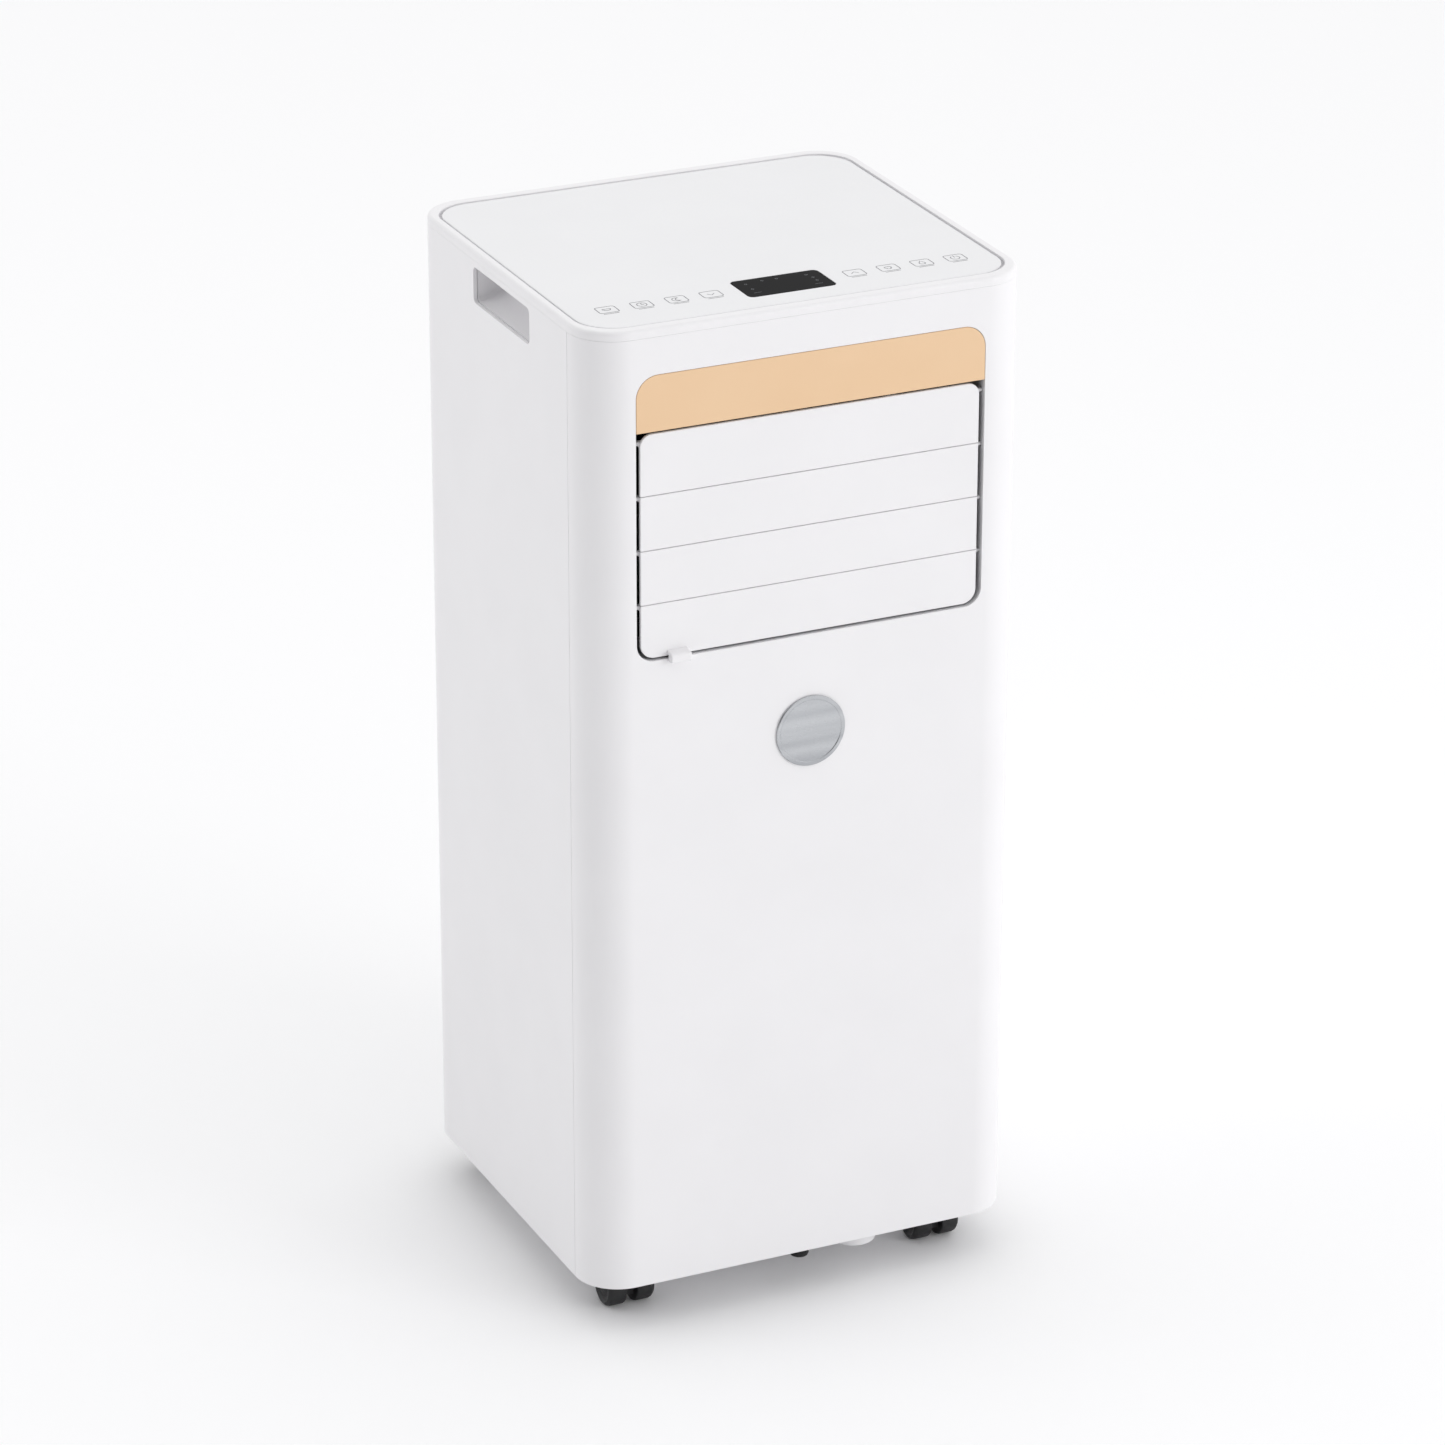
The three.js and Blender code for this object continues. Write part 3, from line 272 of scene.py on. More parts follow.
def toPlainMesh(piece):
    depsgraph = bpy.context.evaluated_depsgraph_get()
    mesh = bpy.data.meshes.new_from_object(piece.evaluated_get(depsgraph), depsgraph=depsgraph)
    piece.modifiers.clear()
    piece.data = mesh
    return piece


def combine(piece, others, operation="DIFFERENCE"):
    for other in others:
        modifier = piece.modifiers.new("cut", "BOOLEAN")
        modifier.operation = operation
        modifier.solver = "EXACT"
        modifier.object = other
    toPlainMesh(piece)
    for other in others:
        bpy.data.objects.remove(other)
    return piece


cornerAngle = 35  # degrees: anything sharper stays a corner in the shading


def smooth(mesh, angle=cornerAngle):
    for polygon in mesh.polygons:
        polygon.use_smooth = True
    mesh.set_sharp_from_angle(angle=math.radians(angle))


def paint(piece, finish):
    piece.data.materials.clear()
    piece.data.materials.append(made[finish])
    return piece


# eased edges, the finish, and smooth shading that keeps true corners
def dress(piece, finish, edge=0.4, segments=2, angle=cornerAngle):
    if edge:
        bevel = piece.modifiers.new("ease", "BEVEL")
        bevel.width = edge * mm
        bevel.segments = segments
        bevel.limit_method = "ANGLE"
        bevel.angle_limit = math.radians(angle)
        bevel.use_clamp_overlap = True
        toPlainMesh(piece)
    smooth(piece.data, angle)
    weighted = piece.modifiers.new("flat faces", "WEIGHTED_NORMAL")
    weighted.keep_sharp = True
    return paint(toPlainMesh(piece), finish)


def fit(piece, body, *nodes):
    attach(piece, body)
    if nodes:
        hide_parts(*nodes)
    return piece


# Runs a node group that makes one repeated form, and keeps its result as a plain mesh.
# build gets the tree and its inputs by name, and gives back the geometry socket to show.
def grown(name, finish, values, build):
    tree = bpy.data.node_groups.new(name + " tree", "GeometryNodeTree")
    kinds = {int: "NodeSocketInt", float: "NodeSocketFloat", tuple: "NodeSocketVector"}
    sockets = {}
    for label, value in values.items():
        sockets[label] = tree.interface.new_socket(label, in_out="INPUT", socket_type=kinds[type(value)])
    tree.interface.new_socket("Form", in_out="OUTPUT", socket_type="NodeSocketGeometry")
    form = build(tree, addNode(tree, "NodeGroupInput").outputs)
    real = addNode(tree, "GeometryNodeRealizeInstances", Geometry=form)
    painted = addNode(tree, "GeometryNodeSetMaterial", {"Material": made[finish]},
                      Geometry=real.outputs["Geometry"])
    tree.links.new(painted.outputs["Geometry"], tree.nodes.new("NodeGroupOutput").inputs["Form"])
    piece = linked(name, bpy.data.meshes.new(name))
    modifier = piece.modifiers.new("form", "NODES")
    modifier.node_group = tree
    for label, value in values.items():
        modifier[sockets[label].identifier] = value
    return paint(toPlainMesh(piece), finish)


def metres(point):
    return tuple(value * mm for value in point)


# a row of equal bars, such as fins, vanes or grille blades
def barRow(name, finish, count, start, step, size):
    def build(tree, inputs):
        line = addNode(tree, "GeometryNodeMeshLine", {"mode": "OFFSET"}, Count=inputs["Count"],
                       StartLocation=inputs["Start"], Offset=inputs["Step"])
        bar = addNode(tree, "GeometryNodeMeshCube", Size=inputs["Size"])
        placed = addNode(tree, "GeometryNodeInstanceOnPoints", Points=line.outputs["Mesh"],
                         Instance=bar.outputs["Mesh"])
        return placed.outputs["Instances"]

    values = {"Count": count, "Start": metres(start), "Step": metres(step), "Size": metres(size)}
    return grown(name, finish, values, build)


# blades round an axle that lies along Y, each turned by the rake from straight outwards
def bladeRing(name, finish, count, radius, size, rake, centre):
    def build(tree, inputs):
        ring = addNode(tree, "GeometryNodeMeshCircle", Vertices=inputs["Count"], Radius=inputs["Radius"])
        bar = addNode(tree, "GeometryNodeMeshCube", Size=inputs["Size"])
        index = addNode(tree, "GeometryNodeInputIndex").outputs["Index"]
        turn = addNode(tree, "ShaderNodeMath", {"operation": "MULTIPLY_ADD"})
        for socket, source in zip(turn.inputs, (index, inputs["Spacing"], inputs["Rake"])):
            tree.links.new(source, socket)
        angle = addNode(tree, "ShaderNodeCombineXYZ", Z=turn.outputs["Value"])
        spin = addNode(tree, "FunctionNodeEulerToRotation", Euler=angle.outputs["Vector"])
        placed = addNode(tree, "GeometryNodeInstanceOnPoints", Points=ring.outputs["Mesh"],
                         Instance=bar.outputs["Mesh"], Rotation=spin.outputs["Rotation"])
        return placed.outputs["Instances"]

    values = {"Count": count, "Radius": radius * mm, "Size": metres(size), "Spacing": 2 * math.pi / count,
              "Rake": math.radians(rake)}
    piece = grown(name, finish, values, build)
    piece.data.transform(Matrix.Translation(metres(centre)) @ Matrix.Rotation(-math.pi / 2, 4, "X"))
    return piece


# several dressed meshes of one finish become one piece
def merged(name, parts):
    bm = bmesh.new()
    for part in parts:
        bm.from_mesh(part.data)
    mesh = meshFrom(name, bm)
    mesh.materials.append(parts[0].data.materials[0])
    for part in parts:
        bpy.data.objects.remove(part)
    smooth(mesh)
    return linked(name, mesh)


# casings
shell = {"wall": 2.5, "edge": 0.25, "gripRadius": 4, "gripLip": 3, "outletTopRadius": 15,
         "outletBottomRadius": 12, "outletGap": 0.3, "outletSill": 4.5, "portRadius": 8, "portGap": 0.4,
         "collarHoleR": 63.5, "drainHoleR": 7, "glandHoleR": 6, "screwHoleR": 2.2}
beyond = {"side": 200, "top": 800}  # past the body on every side
cut = {"out": 5, "in": 6}  # how far a cutter passes a wall's outer face, on either side


def shellRing(name):
    outer = bodyPlan(0)
    inner = bodyPlan(shell["wall"])
    levels = [(outer, skirtZ), (outer, casingTopZ), (inner, casingTopZ), (inner, skirtZ)]
    return loft(name, [[(x, y, z) for x, y in plan] for plan, z in levels], looped=True)


strip = boxOf("trim_strip")
outletFrame = boxOf("louvre_frame")
outletX = strip[1] + shell["outletGap"]
outletTopZ = strip[5] + shell["outletGap"]
outletBottomZ = outletFrame[4] + shell["outletSill"]


def outletOutline(clear=0):
    return roundedRect(-outletX + clear, outletBottomZ + clear, outletX - clear, outletTopZ - clear,
                       shell["outletBottomRadius"] - clear, shell["outletTopRadius"] - clear)


frontCasing = shellRing("front_casing_shell")
combine(frontCasing, [
    block("seam cut", -beyond["side"], beyond["side"], front[3], beyond["side"], 0, beyond["top"]),
    prism("outlet cut", outletOutline(), "y", frontY - cut["out"], frontY + cut["in"]),
])
fit(dress(frontCasing, white, shell["edge"], 3), "root", "front_casing")

grip = {side: boxOf("grip_pocket_" + side) for side in ("left", "right")}
lip = shell["gripLip"]
gripY0, gripY1 = grip["left"][2] + lip, grip["left"][3] - lip
gripZ0, gripZ1 = grip["left"][4] + lip, grip["left"][5] - lip
filterBox, intakeBox = boxOf("filter_grille"), boxOf("intake_grille")
collarBox = boxOf("exhaust_collar")
collarZ = middle(collarBox)[2]
drainBox, glandBox = boxOf("drain_cap"), boxOf("cord_gland")
screwBoxes = [boxOf("casing_screw_%d" % i) for i in range(1, 5)]


def portOutline(box, clear=0.0):
    return faceOutline(box, shell["portRadius"] + clear, inset=-clear, steps=10)


def centreOf(box):
    x, _, z = middle(box)
    return x, z


rearCasing = shellRing("rear_casing_shell")
gripOutline = roundedRect(gripY0, gripZ0, gripY1, gripZ1, shell["gripRadius"], steps=8)
# every opening through the back
holes = [(portOutline(filterBox, shell["portGap"]), "filter cut"),
         (portOutline(intakeBox, shell["portGap"]), "intake cut"),
         (circlePoints(0, collarZ, shell["collarHoleR"], 96), "collar cut")]
holeRadii = [(drainBox, shell["drainHoleR"]), (glandBox, shell["glandHoleR"])]
holeRadii += [(box, shell["screwHoleR"]) for box in screwBoxes]
holes += [(circlePoints(*centreOf(box), r, 32), "hole cut") for box, r in holeRadii]
combine(rearCasing, [
    block("seam cut", -beyond["side"], beyond["side"], -beyond["side"], rear[2], 0, beyond["top"]),
    prism("left grip cut", gripOutline, "x", -bodyX - cut["out"], -bodyX + cut["in"]),
    prism("right grip cut", gripOutline, "x", bodyX - cut["in"], bodyX + cut["out"]),
] + [prism(name, outline, "y", rearY - cut["in"], rearY + cut["out"]) for outline, name in holes])
fit(dress(rearCasing, white, shell["edge"], 3), "root", "rear_casing")


pocket = {"mouth": 2.8, "depth": 24, "wall": 1.8, "sill": 2, "heel": 7, "soften": 3.2, "softenSteps": 6,
          "softenAngle": 40}


# the grip pocket's hollow: a flat roof, and a floor that curves down to the mouth
def scoopOutline(mouthX, backX, floorZ, roofZ, offset, steps=16):
    curve = []
    for i in range(steps + 1):
        t = i / steps
        a, b, c = (1 - t) ** 2, 2 * t * (1 - t), t * t
        x = a * mouthX + (b + c) * (backX + offset)
        z = a * (floorZ - offset) + b * (floorZ + pocket["sill"] - offset) + c * (roofZ - pocket["heel"])
        curve.append((x, z))
    return curve + [(backX + offset, roofZ + offset), (mouthX, roofZ + offset)]


for side, sign in (("left", 1), ("right", -1)):
    wall = pocket["wall"]
    mouth = -bodyX + pocket["mouth"]
    back = -bodyX + pocket["depth"]
    scoop = prism("grip_pocket_shell_" + side, scoopOutline(mouth, back, gripZ0, gripZ1, wall), "y",
                  gripY0 - wall, gripY1 + wall)
    flange = block("flange", mouth, mouth + wall, gripY0 - lip, gripY1 + lip, gripZ0 - lip, gripZ1 + lip)
    hollow = prism("hollow", scoopOutline(mouth - 1, back, gripZ0, gripZ1, 0), "y", gripY0, gripY1)
    soften = hollow.modifiers.new("soften", "BEVEL")
    soften.width, soften.segments = pocket["soften"] * mm, pocket["softenSteps"]
    soften.angle_limit = math.radians(pocket["softenAngle"])
    toPlainMesh(hollow)
    combine(scoop, [flange], "UNION")
    combine(scoop, [hollow])
    if sign < 0:
        scoop.data.transform(Matrix.Scale(-1, 4, (1, 0, 0)))
        scoop.data.flip_normals()
    fit(dress(scoop, white, 0.3), "root", "grip_pocket_" + side)
print("stage: casings")

# top
panelBox = boxOf("control_panel")
topFrameBox = boxOf("top_frame")
displayBox = boxOf("display_window")
top = {"edgeRadius": 2.5, "groove": 1.5, "ledge": 8, "ease": 0.6, "brink": 0.2, "seat": 0.3, "overlap": 0.2,
       "panelRadius": 26, "panelEdge": 0.7, "arcSteps": 10, "windowRadius": 4, "windowGap": 0.3}


def planRing(insetX, insetY, radius, z):
    return [(x, y, z) for x, y in bodyPlan(insetX, insetY, radius)]


topZ = topFrameBox[5]
wellX = bodyX - panelBox[1] - top["groove"]
wellY = rearY - panelBox[3] - top["groove"]
rimRings = [planRing(0, 0, cornerR, topFrameBox[4] - top["overlap"])]
for angle in quarterTurn(top["arcSteps"]):
    inset = top["edgeRadius"] * (1 - math.cos(angle))
    rimRings.append(planRing(inset, inset, cornerR - inset, topZ - top["edgeRadius"] * (1 - math.sin(angle))))
ledge, radius = top["ledge"], top["panelRadius"]
seatZ = panelBox[4] - top["seat"]
# the ring's inner side: an eased brink, the well, the ledge under the panel, and back down
for extra, z in ((-top["ease"], topZ), (-top["brink"], topZ - top["brink"]), (0, topZ - top["ease"]),
                 (0, seatZ), (ledge, seatZ), (ledge, topFrameBox[4] - top["overlap"])):
    rimRings.append(planRing(wellX + extra, wellY + extra, radius - extra, z))
fit(dress(loft("top_frame_rim", rimRings, looped=True), white, 0), "root", "top_frame")

panelInset = (bodyX - panelBox[1], rearY - panelBox[3])
panelRings = [planRing(*panelInset, top["panelRadius"], panelBox[4])]
for angle in quarterTurn(4):
    inset = top["panelEdge"] * (1 - math.cos(angle))
    panelRings.append(planRing(panelInset[0] + inset, panelInset[1] + inset, top["panelRadius"] - inset,
                               panelBox[5] - top["panelEdge"] * (1 - math.sin(angle))))
panel = loft("control_panel_face", panelRings)


def displayOutline(clear):
    return roundedRect(displayBox[0] - clear, displayBox[2] - clear, displayBox[1] + clear,
                       displayBox[3] + clear, top["windowRadius"], steps=8)


combine(panel, [prism("window cut", displayOutline(top["windowGap"]), "z", panelBox[4] - 2, panelBox[5] + 2)])
fit(dress(panel, "acrylic panel white", 0.15, 2, 50), "root", "control_panel")
window = prism("display_window_lens", displayOutline(0), "z", displayBox[4], displayBox[5])
fit(dress(window, "smoked polycarbonate", 0.25, 3), "root", "display_window")


# ink lines on a level face: each stroke is a list of points, drawn as a thin raised ribbon
def inkStrokes(name, strokes, z, width, height, finish):
    bm = bmesh.new()
    for points, closed in strokes:
        count = len(points)
        rows = []
        for i, point in enumerate(points):
            before = Vector(points[i - 1] if closed or i > 0 else point)
            after = Vector(points[(i + 1) % count] if closed or i < count - 1 else point)
            along = (after - before).normalized()
            side = Vector((-along.y, along.x)) * width / 2
            left, right = Vector(point) + side, Vector(point) - side
            section = ((left, z), (left, z + height), (right, z + height), (right, z))
            rows.append([bm.verts.new((*p, level)) for p, level in section])
        for i in range(count if closed else count - 1):
            a, b = rows[i], rows[(i + 1) % count]
            for k in range(4):
                bm.faces.new((a[k], a[(k + 1) % 4], b[(k + 1) % 4], b[k]))
        if not closed:
            bm.faces.new(rows[0])
            bm.faces.new(list(reversed(rows[-1])))
    return paint(meshObject(name, bm, weld=0), finish)


def arc(cx, cy, r, start, end, steps=14):
    return [(cx + r * math.cos(math.radians(start + (end - start) * i / steps)),
             cy + r * math.sin(math.radians(start + (end - start) * i / steps))) for i in range(steps + 1)]


# plain everyday symbols, drawn about a key's centre
symbols = {
    "power": [(arc(0, 0, 3, 120, 420), False), ([(0, 0.5), (0, 4)], False)],
    "clock": [(arc(0, 0, 3.2, 0, 345, 20), True), ([(0, 0), (0, 2.2)], False), ([(0, 0), (1.6, 0)], False)],
    "fan": [(arc(0.9 * math.cos(a), 0.9 * math.sin(a), 1.5, math.degrees(a) - 70, math.degrees(a) + 110),
             False)
            for a in (0.5, 2.6, 4.7)],
    "moon": [(arc(0, 0, 3, 50, 310), False), (arc(1.6, 0, 2.3, 95, 265), False)],
    "up": [([(-2.4, -1), (0, 1.6), (2.4, -1)], False)],
    "down": [([(-2.4, 1), (0, -1.6), (2.4, 1)], False)],
    "swing": [([(-2.8, 1.4), (2.8, 1.4)], False), (arc(0, 1.4, 2.8, 180, 360), False)],
    "drop": [(arc(0, -0.8, 2, 150, 390), False), ([(-1.73, 0.2), (0, 3.4), (1.73, 0.2)], False)],
}
ink = {"sink": 0.02, "keyLine": 0.5, "keyHeight": 0.06, "markLine": 0.35, "markHeight": 0.05}
keys = {"first": 49.3, "pitch": 23.5, "width": 13, "depth": 11, "radius": 1.8, "barY": -7.4, "barHalf": 5.2}
displayY = middle(displayBox)[1]
rightKeyX = [keys["first"] + keys["pitch"] * i for i in range(4)]
keyX = [-x for x in reversed(rightKeyX)] + rightKeyX
keyStrokes = []
for centreX, symbol in zip(keyX, ["swing", "clock", "moon", "down", "up", "fan", "drop", "power"]):
    outline = roundedRect(-keys["width"] / 2, -keys["depth"] / 2, keys["width"] / 2, keys["depth"] / 2,
                          keys["radius"], steps=6)
    bar = [(-keys["barHalf"], keys["barY"]), (keys["barHalf"], keys["barY"])]
    for points, closed in [(outline, True), (bar, False)] + symbols[symbol]:
        keyStrokes.append(([(centreX + x, displayY + y) for x, y in points], closed))
fit(inkStrokes("touch_key_symbols", keyStrokes, panelBox[5] - ink["sink"], ink["keyLine"], ink["keyHeight"],
               "printed grey ink"), "root")

# unlit indicator marks behind the window: small dots and bars
marks = []
for x, y in ((-22, 8), (-10, 10), (0, 10), (20, 9), (-22, -2), (22, -3), (22, 3)):
    marks.append((arc(x, displayY + y, 0.8, 0, 330, 11), True))
for x in (-24, 18):
    marks.append(([(x, displayY - 9), (x + 5, displayY - 9)], False))
fit(inkStrokes("display_marks", marks, displayBox[5] - ink["sink"], ink["markLine"], ink["markHeight"],
               "printed pale ink"), "root")
print("stage: top")

# louvre
stripOutline = faceOutline(strip, 0, shell["outletTopRadius"] - shell["outletGap"])
fit(dress(prism("trim_strip_face", stripOutline, "y", strip[2], strip[3]), "satin lacquer tan", 0.3, 3),
    "root", "trim_strip")

slats = {"topRadius": 8, "bottomRadius": 9.5, "radius": 0.6, "thick": 2.5, "edge": 1.0, "inset": 1.2,
         "pinReach": 5.2, "abovePivot": 1.9, "topExtra": 4.7, "belowPivot": 33.9, "bury": 0.3, "lugWide": 3,
         "lugHalf": 1.6, "pinR": 1.3, "pinRoot": 1}
ear = {"x0": 55, "x1": 57.5, "width": 6, "topZ": 15, "crankY": 5, "crankZ": 12}
tab = {"x0": -99, "x1": -85, "ease": 1.2, "edge": 0.8}
crankProfile = [(0, 57.3), (1.5, 57.3), (1.5, 61.6), (1.2, 62), (0, 62)]
for number in range(1, 5):
    name = "louvre_slat_%d" % number
    box = boxOf(name)
    bladeX = box[1] - slats["pinReach"]
    joint = next(j for j in frame["joints"] if j["name"] == "louvre_%d" % number)
    pivotY, pivotZ = joint["pos_m"][1] / mm, joint["pos_m"][2] / mm
    bladeTop = pivotZ + slats["abovePivot"] + (slats["topExtra"] if number == 1 else 0)
    bladeBottom = pivotZ - slats["belowPivot"]
    faceY = frontY + slats["inset"]
    outline = roundedRect(-bladeX, bladeBottom, bladeX, bladeTop,
                          slats["bottomRadius"] if number == 4 else slats["radius"],
                          slats["topRadius"] if number == 1 else slats["radius"])
    blade = prism("slat_blade_%d" % number, outline, "y", faceY, faceY + slats["thick"])
    dress(blade, white, slats["edge"], 4)
    backY = faceY + slats["thick"] - slats["bury"]
    fittings = []
    earOutline = [(backY, pivotZ - 10), (pivotY + 8, pivotZ + 8), (pivotY + 8, pivotZ + ear["topZ"]),
                  (pivotY + 8 - ear["width"], pivotZ + ear["topZ"]), (pivotY + 2, pivotZ + 3),
                  (backY, pivotZ + 0.5)]
    fittings.append(prism("ear", earOutline, "x", ear["x0"], ear["x1"]))
    fittings.append(turned("crank pin", crankProfile, (0, pivotY + ear["crankY"], pivotZ + ear["crankZ"]),
                           "x", 20))
    for sign in (-1, 1):
        x0, x1 = sorted((sign * (bladeX - slats["lugWide"]), sign * bladeX))
        half, pinR = slats["lugHalf"], slats["pinR"]
        fittings.append(block("lug", x0, x1, backY, pivotY + half, pivotZ - half, pivotZ + half))
        x0, x1 = sorted((sign * (bladeX - slats["pinRoot"]), sign * box[1]))
        fittings.append(turned("pin", rod(pinR, x0, x1), (0, pivotY, pivotZ), "x", 20))
    if number == 4:
        tabOutline = [(faceY + 0.3, bladeBottom + 1), (faceY + 0.3, bladeBottom + 4),
                      (box[2] + tab["ease"], bladeBottom + 3), (box[2], bladeBottom + 1.5),
                      (box[2], box[4] + 1.5), (box[2] + 1.5, box[4]), (frontY - 0.5, box[4]),
                      (frontY - 0.5, bladeBottom + 1)]
        fittings.append(dress(prism("tab", tabOutline, "x", tab["x0"], tab["x1"]), white, tab["edge"], 4))
    for fitting in fittings:
        if not fitting.data.materials:
            dress(fitting, white, 0.2)
    fit(merged(name + "_blade", [blade] + fittings), "slat_%d" % number, name)

guard = boxOf("outlet_guard")
ductTop = guard[5]
frameY0, frameY1 = outletFrame[2:4]
ductShape = {"wall": 2.5, "radius": 12, "topRadius": 2, "outerRadius": 14.5, "outerTopRadius": 4,
             "flangeRadius": 14, "flangeTopRadius": 18, "flangeThick": 2, "bearingR": 1.9, "bearingX": 126}
wall, thick = ductShape["wall"], ductShape["flangeThick"]
ductOutline = roundedRect(-outletX - wall, outletBottomZ - wall, outletX + wall, ductTop + wall,
                          ductShape["outerRadius"], ductShape["outerTopRadius"])
duct = prism("louvre_frame_duct", ductOutline, "y", frameY0, frameY1)
flangeOutline = faceOutline(outletFrame, ductShape["flangeRadius"], ductShape["flangeTopRadius"])
flange = prism("flange", flangeOutline, "y", frameY0, frameY0 + thick)
combine(duct, [flange], "UNION")
bearing = rod(ductShape["bearingR"], -ductShape["bearingX"], ductShape["bearingX"])
bearingHoles = []
for joint in frame["joints"]:
    if joint["name"].startswith("louvre_"):
        _, y, z = [v / mm for v in joint["pos_m"]]
        bearingHoles.append(turned("hole", bearing, (0, y, z), "x", 24))
inside = roundedRect(-outletX, outletBottomZ, outletX, ductTop, ductShape["radius"], ductShape["topRadius"])
mouth = roundedRect(-outletX, outletBottomZ, outletX, strip[4], ductShape["radius"], 0)
combine(duct, [prism("inside", inside, "y", frameY0 + thick, frameY1 + 1),
               prism("mouth", mouth, "y", frameY0 - 1, frameY0 + thick + 1)] + bearingHoles)
fit(dress(duct, "pale grey ABS", 0.3), "root", "louvre_frame")

guardShape = {"side": 4.8, "bottom": 10, "top": 6, "vaneRoom": 15, "vaneStart": 4, "vanes": 11,
              "vaneThick": 1.6}
guardRim = prism("guard_rim", faceOutline(guard, ductShape["radius"], ductShape["topRadius"]), "y",
                 guard[2], guard[3])
middleOutline = roundedRect(guard[0] + guardShape["side"], guard[4] + guardShape["bottom"],
                            guard[1] - guardShape["side"], guard[5] - guardShape["top"], 3, 1)
combine(guardRim, [prism("middle", middleOutline, "y", guard[2] - 1, guard[3] + 1)])
dress(guardRim, nylon, 0.3)
vanePitch = 2 * (guard[1] - guardShape["vaneStart"]) / (guardShape["vanes"] + 1)
vaneHeight = guard[5] - guard[4] - guardShape["vaneRoom"]
_, vaneY, vaneZ = middle(guard)
vanes = barRow("guard_vanes", nylon, guardShape["vanes"],
               (guard[0] + guardShape["vaneStart"] + vanePitch, vaneY, vaneZ + 2), (vanePitch, 0, 0),
               (guardShape["vaneThick"], guard[3] - guard[2] - 0.4, vaneHeight))
dress(vanes, nylon, 0.3)
fit(merged("outlet_guard_vanes", [guardRim, vanes]), "root", "outlet_guard")
print("stage: louvre")

# badge
badge = boxOf("badge")
badgeR = badge[1]
plate = {"rim": 2.4, "dish": 0.35, "edge": 0.4, "thick": 1.5}
rimR, face, edge = badgeR - plate["rim"], plate["thick"], plate["edge"]
badgeProfile = [(0, 0), (badgeR - edge, 0), (badgeR, edge), (badgeR, face - edge), (badgeR - edge, face),
                (rimR, face), (rimR - 0.5, face - plate["dish"]), (0, face - plate["dish"])]
badgeProfile = [(r, badge[3] - d) for r, d in badgeProfile]
fit(dress(turned("badge_plate", badgeProfile, (0, 0, middle(badge)[2]), "y", 96), "brushed aluminium", 0,
          angle=25), "root", "badge")

# rear fittings


grilleShape = {"margin": 8, "innerRadius": 3, "ribHalf": 3, "bladeShare": 0.4, "bladeThin": 0.3}


# a framed grille: border plate, level blades and one upright rib
def grille(name, box, rows, depthFront, depthRear):
    margin, ribHalf = grilleShape["margin"], grilleShape["ribHalf"]
    plateRim = prism(name + "_rim", portOutline(box), "y", depthFront, depthRear)
    inside = faceOutline(box, grilleShape["innerRadius"], inset=margin, steps=6)
    combine(plateRim, [prism("middle", inside, "y", depthFront - 1, depthRear + 1)])
    dress(plateRim, white, 0.5, 3)
    pitch = (box[5] - box[4] - 2 * margin) / rows
    midY = (depthFront + depthRear) / 2
    centreX = middle(box)[0]
    blades = barRow(name + "_blades", white, rows - 1, (centreX, midY, box[4] + margin + pitch),
                    (0, 0, pitch), (box[1] - box[0] - 2 * margin + 1,
                                    depthRear - depthFront - grilleShape["bladeThin"],
                                    pitch * grilleShape["bladeShare"]))
    dress(blades, white, 0.45, 3)
    rib = block(name + "_rib", centreX - ribHalf, centreX + ribHalf, depthFront + 0.1, depthRear - 0.1,
                box[4] + margin - 1, box[5] - margin + 1)
    dress(rib, white, 0.5, 3)
    return [plateRim, blades, rib]


intakeParts = grille("intake", intakeBox, 18, intakeBox[2], intakeBox[3])
fit(merged("intake_grille_louvres", intakeParts), "root", "intake_grille")
filterParts = grille("filter", filterBox, 15, filterBox[2], rearY)
pullTab = {"halfWidth": 18, "top": 3, "height": 4}
pullTopZ = filterBox[5] - pullTab["top"]
pull = block("pull", -pullTab["halfWidth"], pullTab["halfWidth"], rearY - 0.2, filterBox[3],
             pullTopZ - pullTab["height"], pullTopZ)
filterParts.append(dress(pull, white, 1.2, 4))
fit(merged("filter_grille_louvres", filterParts), "filter", "filter_grille")

screenBox = boxOf("filter_screen")
# thread spacing in mm is coarser than the real filter's, so that the mesh shows
screen = {"rim": 5, "radius": 4, "innerRadius": 2, "spacing": 2.4, "thick": 0.5, "deep": 0.4, "start": 4,
          "meshY": 2.4}
rim, spacing, start = screen["rim"], screen["spacing"], screen["start"]
sx0, sx1, sy0, sy1, sz0, sz1 = screenBox
screenRim = prism("screen_rim", faceOutline(screenBox, screen["radius"]), "y", sy0, sy1)
inside = faceOutline(screenBox, screen["innerRadius"], inset=rim)
combine(screenRim, [prism("middle", inside, "y", sy0 - 1, sy1 + 1)])
dress(screenRim, "polypropylene grey", 0.4)
midX, midZ = centreOf(screenBox)
widthX, heightZ = sx1 - sx0 - 2 * start, sz1 - sz0 - 2 * start
meshY = sy0 + screen["meshY"]
upright = barRow("screen_upright", "polypropylene grey", int(widthX / spacing) - 1,
                 (sx0 + start + spacing, meshY, midZ), (spacing, 0, 0),
                 (screen["thick"], screen["deep"], heightZ))
level = barRow("screen_level", "polypropylene grey", int(heightZ / spacing) - 1,
               (midX, meshY + 0.3, sz0 + start + spacing), (0, 0, spacing),
               (widthX, screen["deep"], screen["thick"]))
fit(merged("filter_screen_mesh", [screenRim, upright, level]), "filter", "filter_screen")

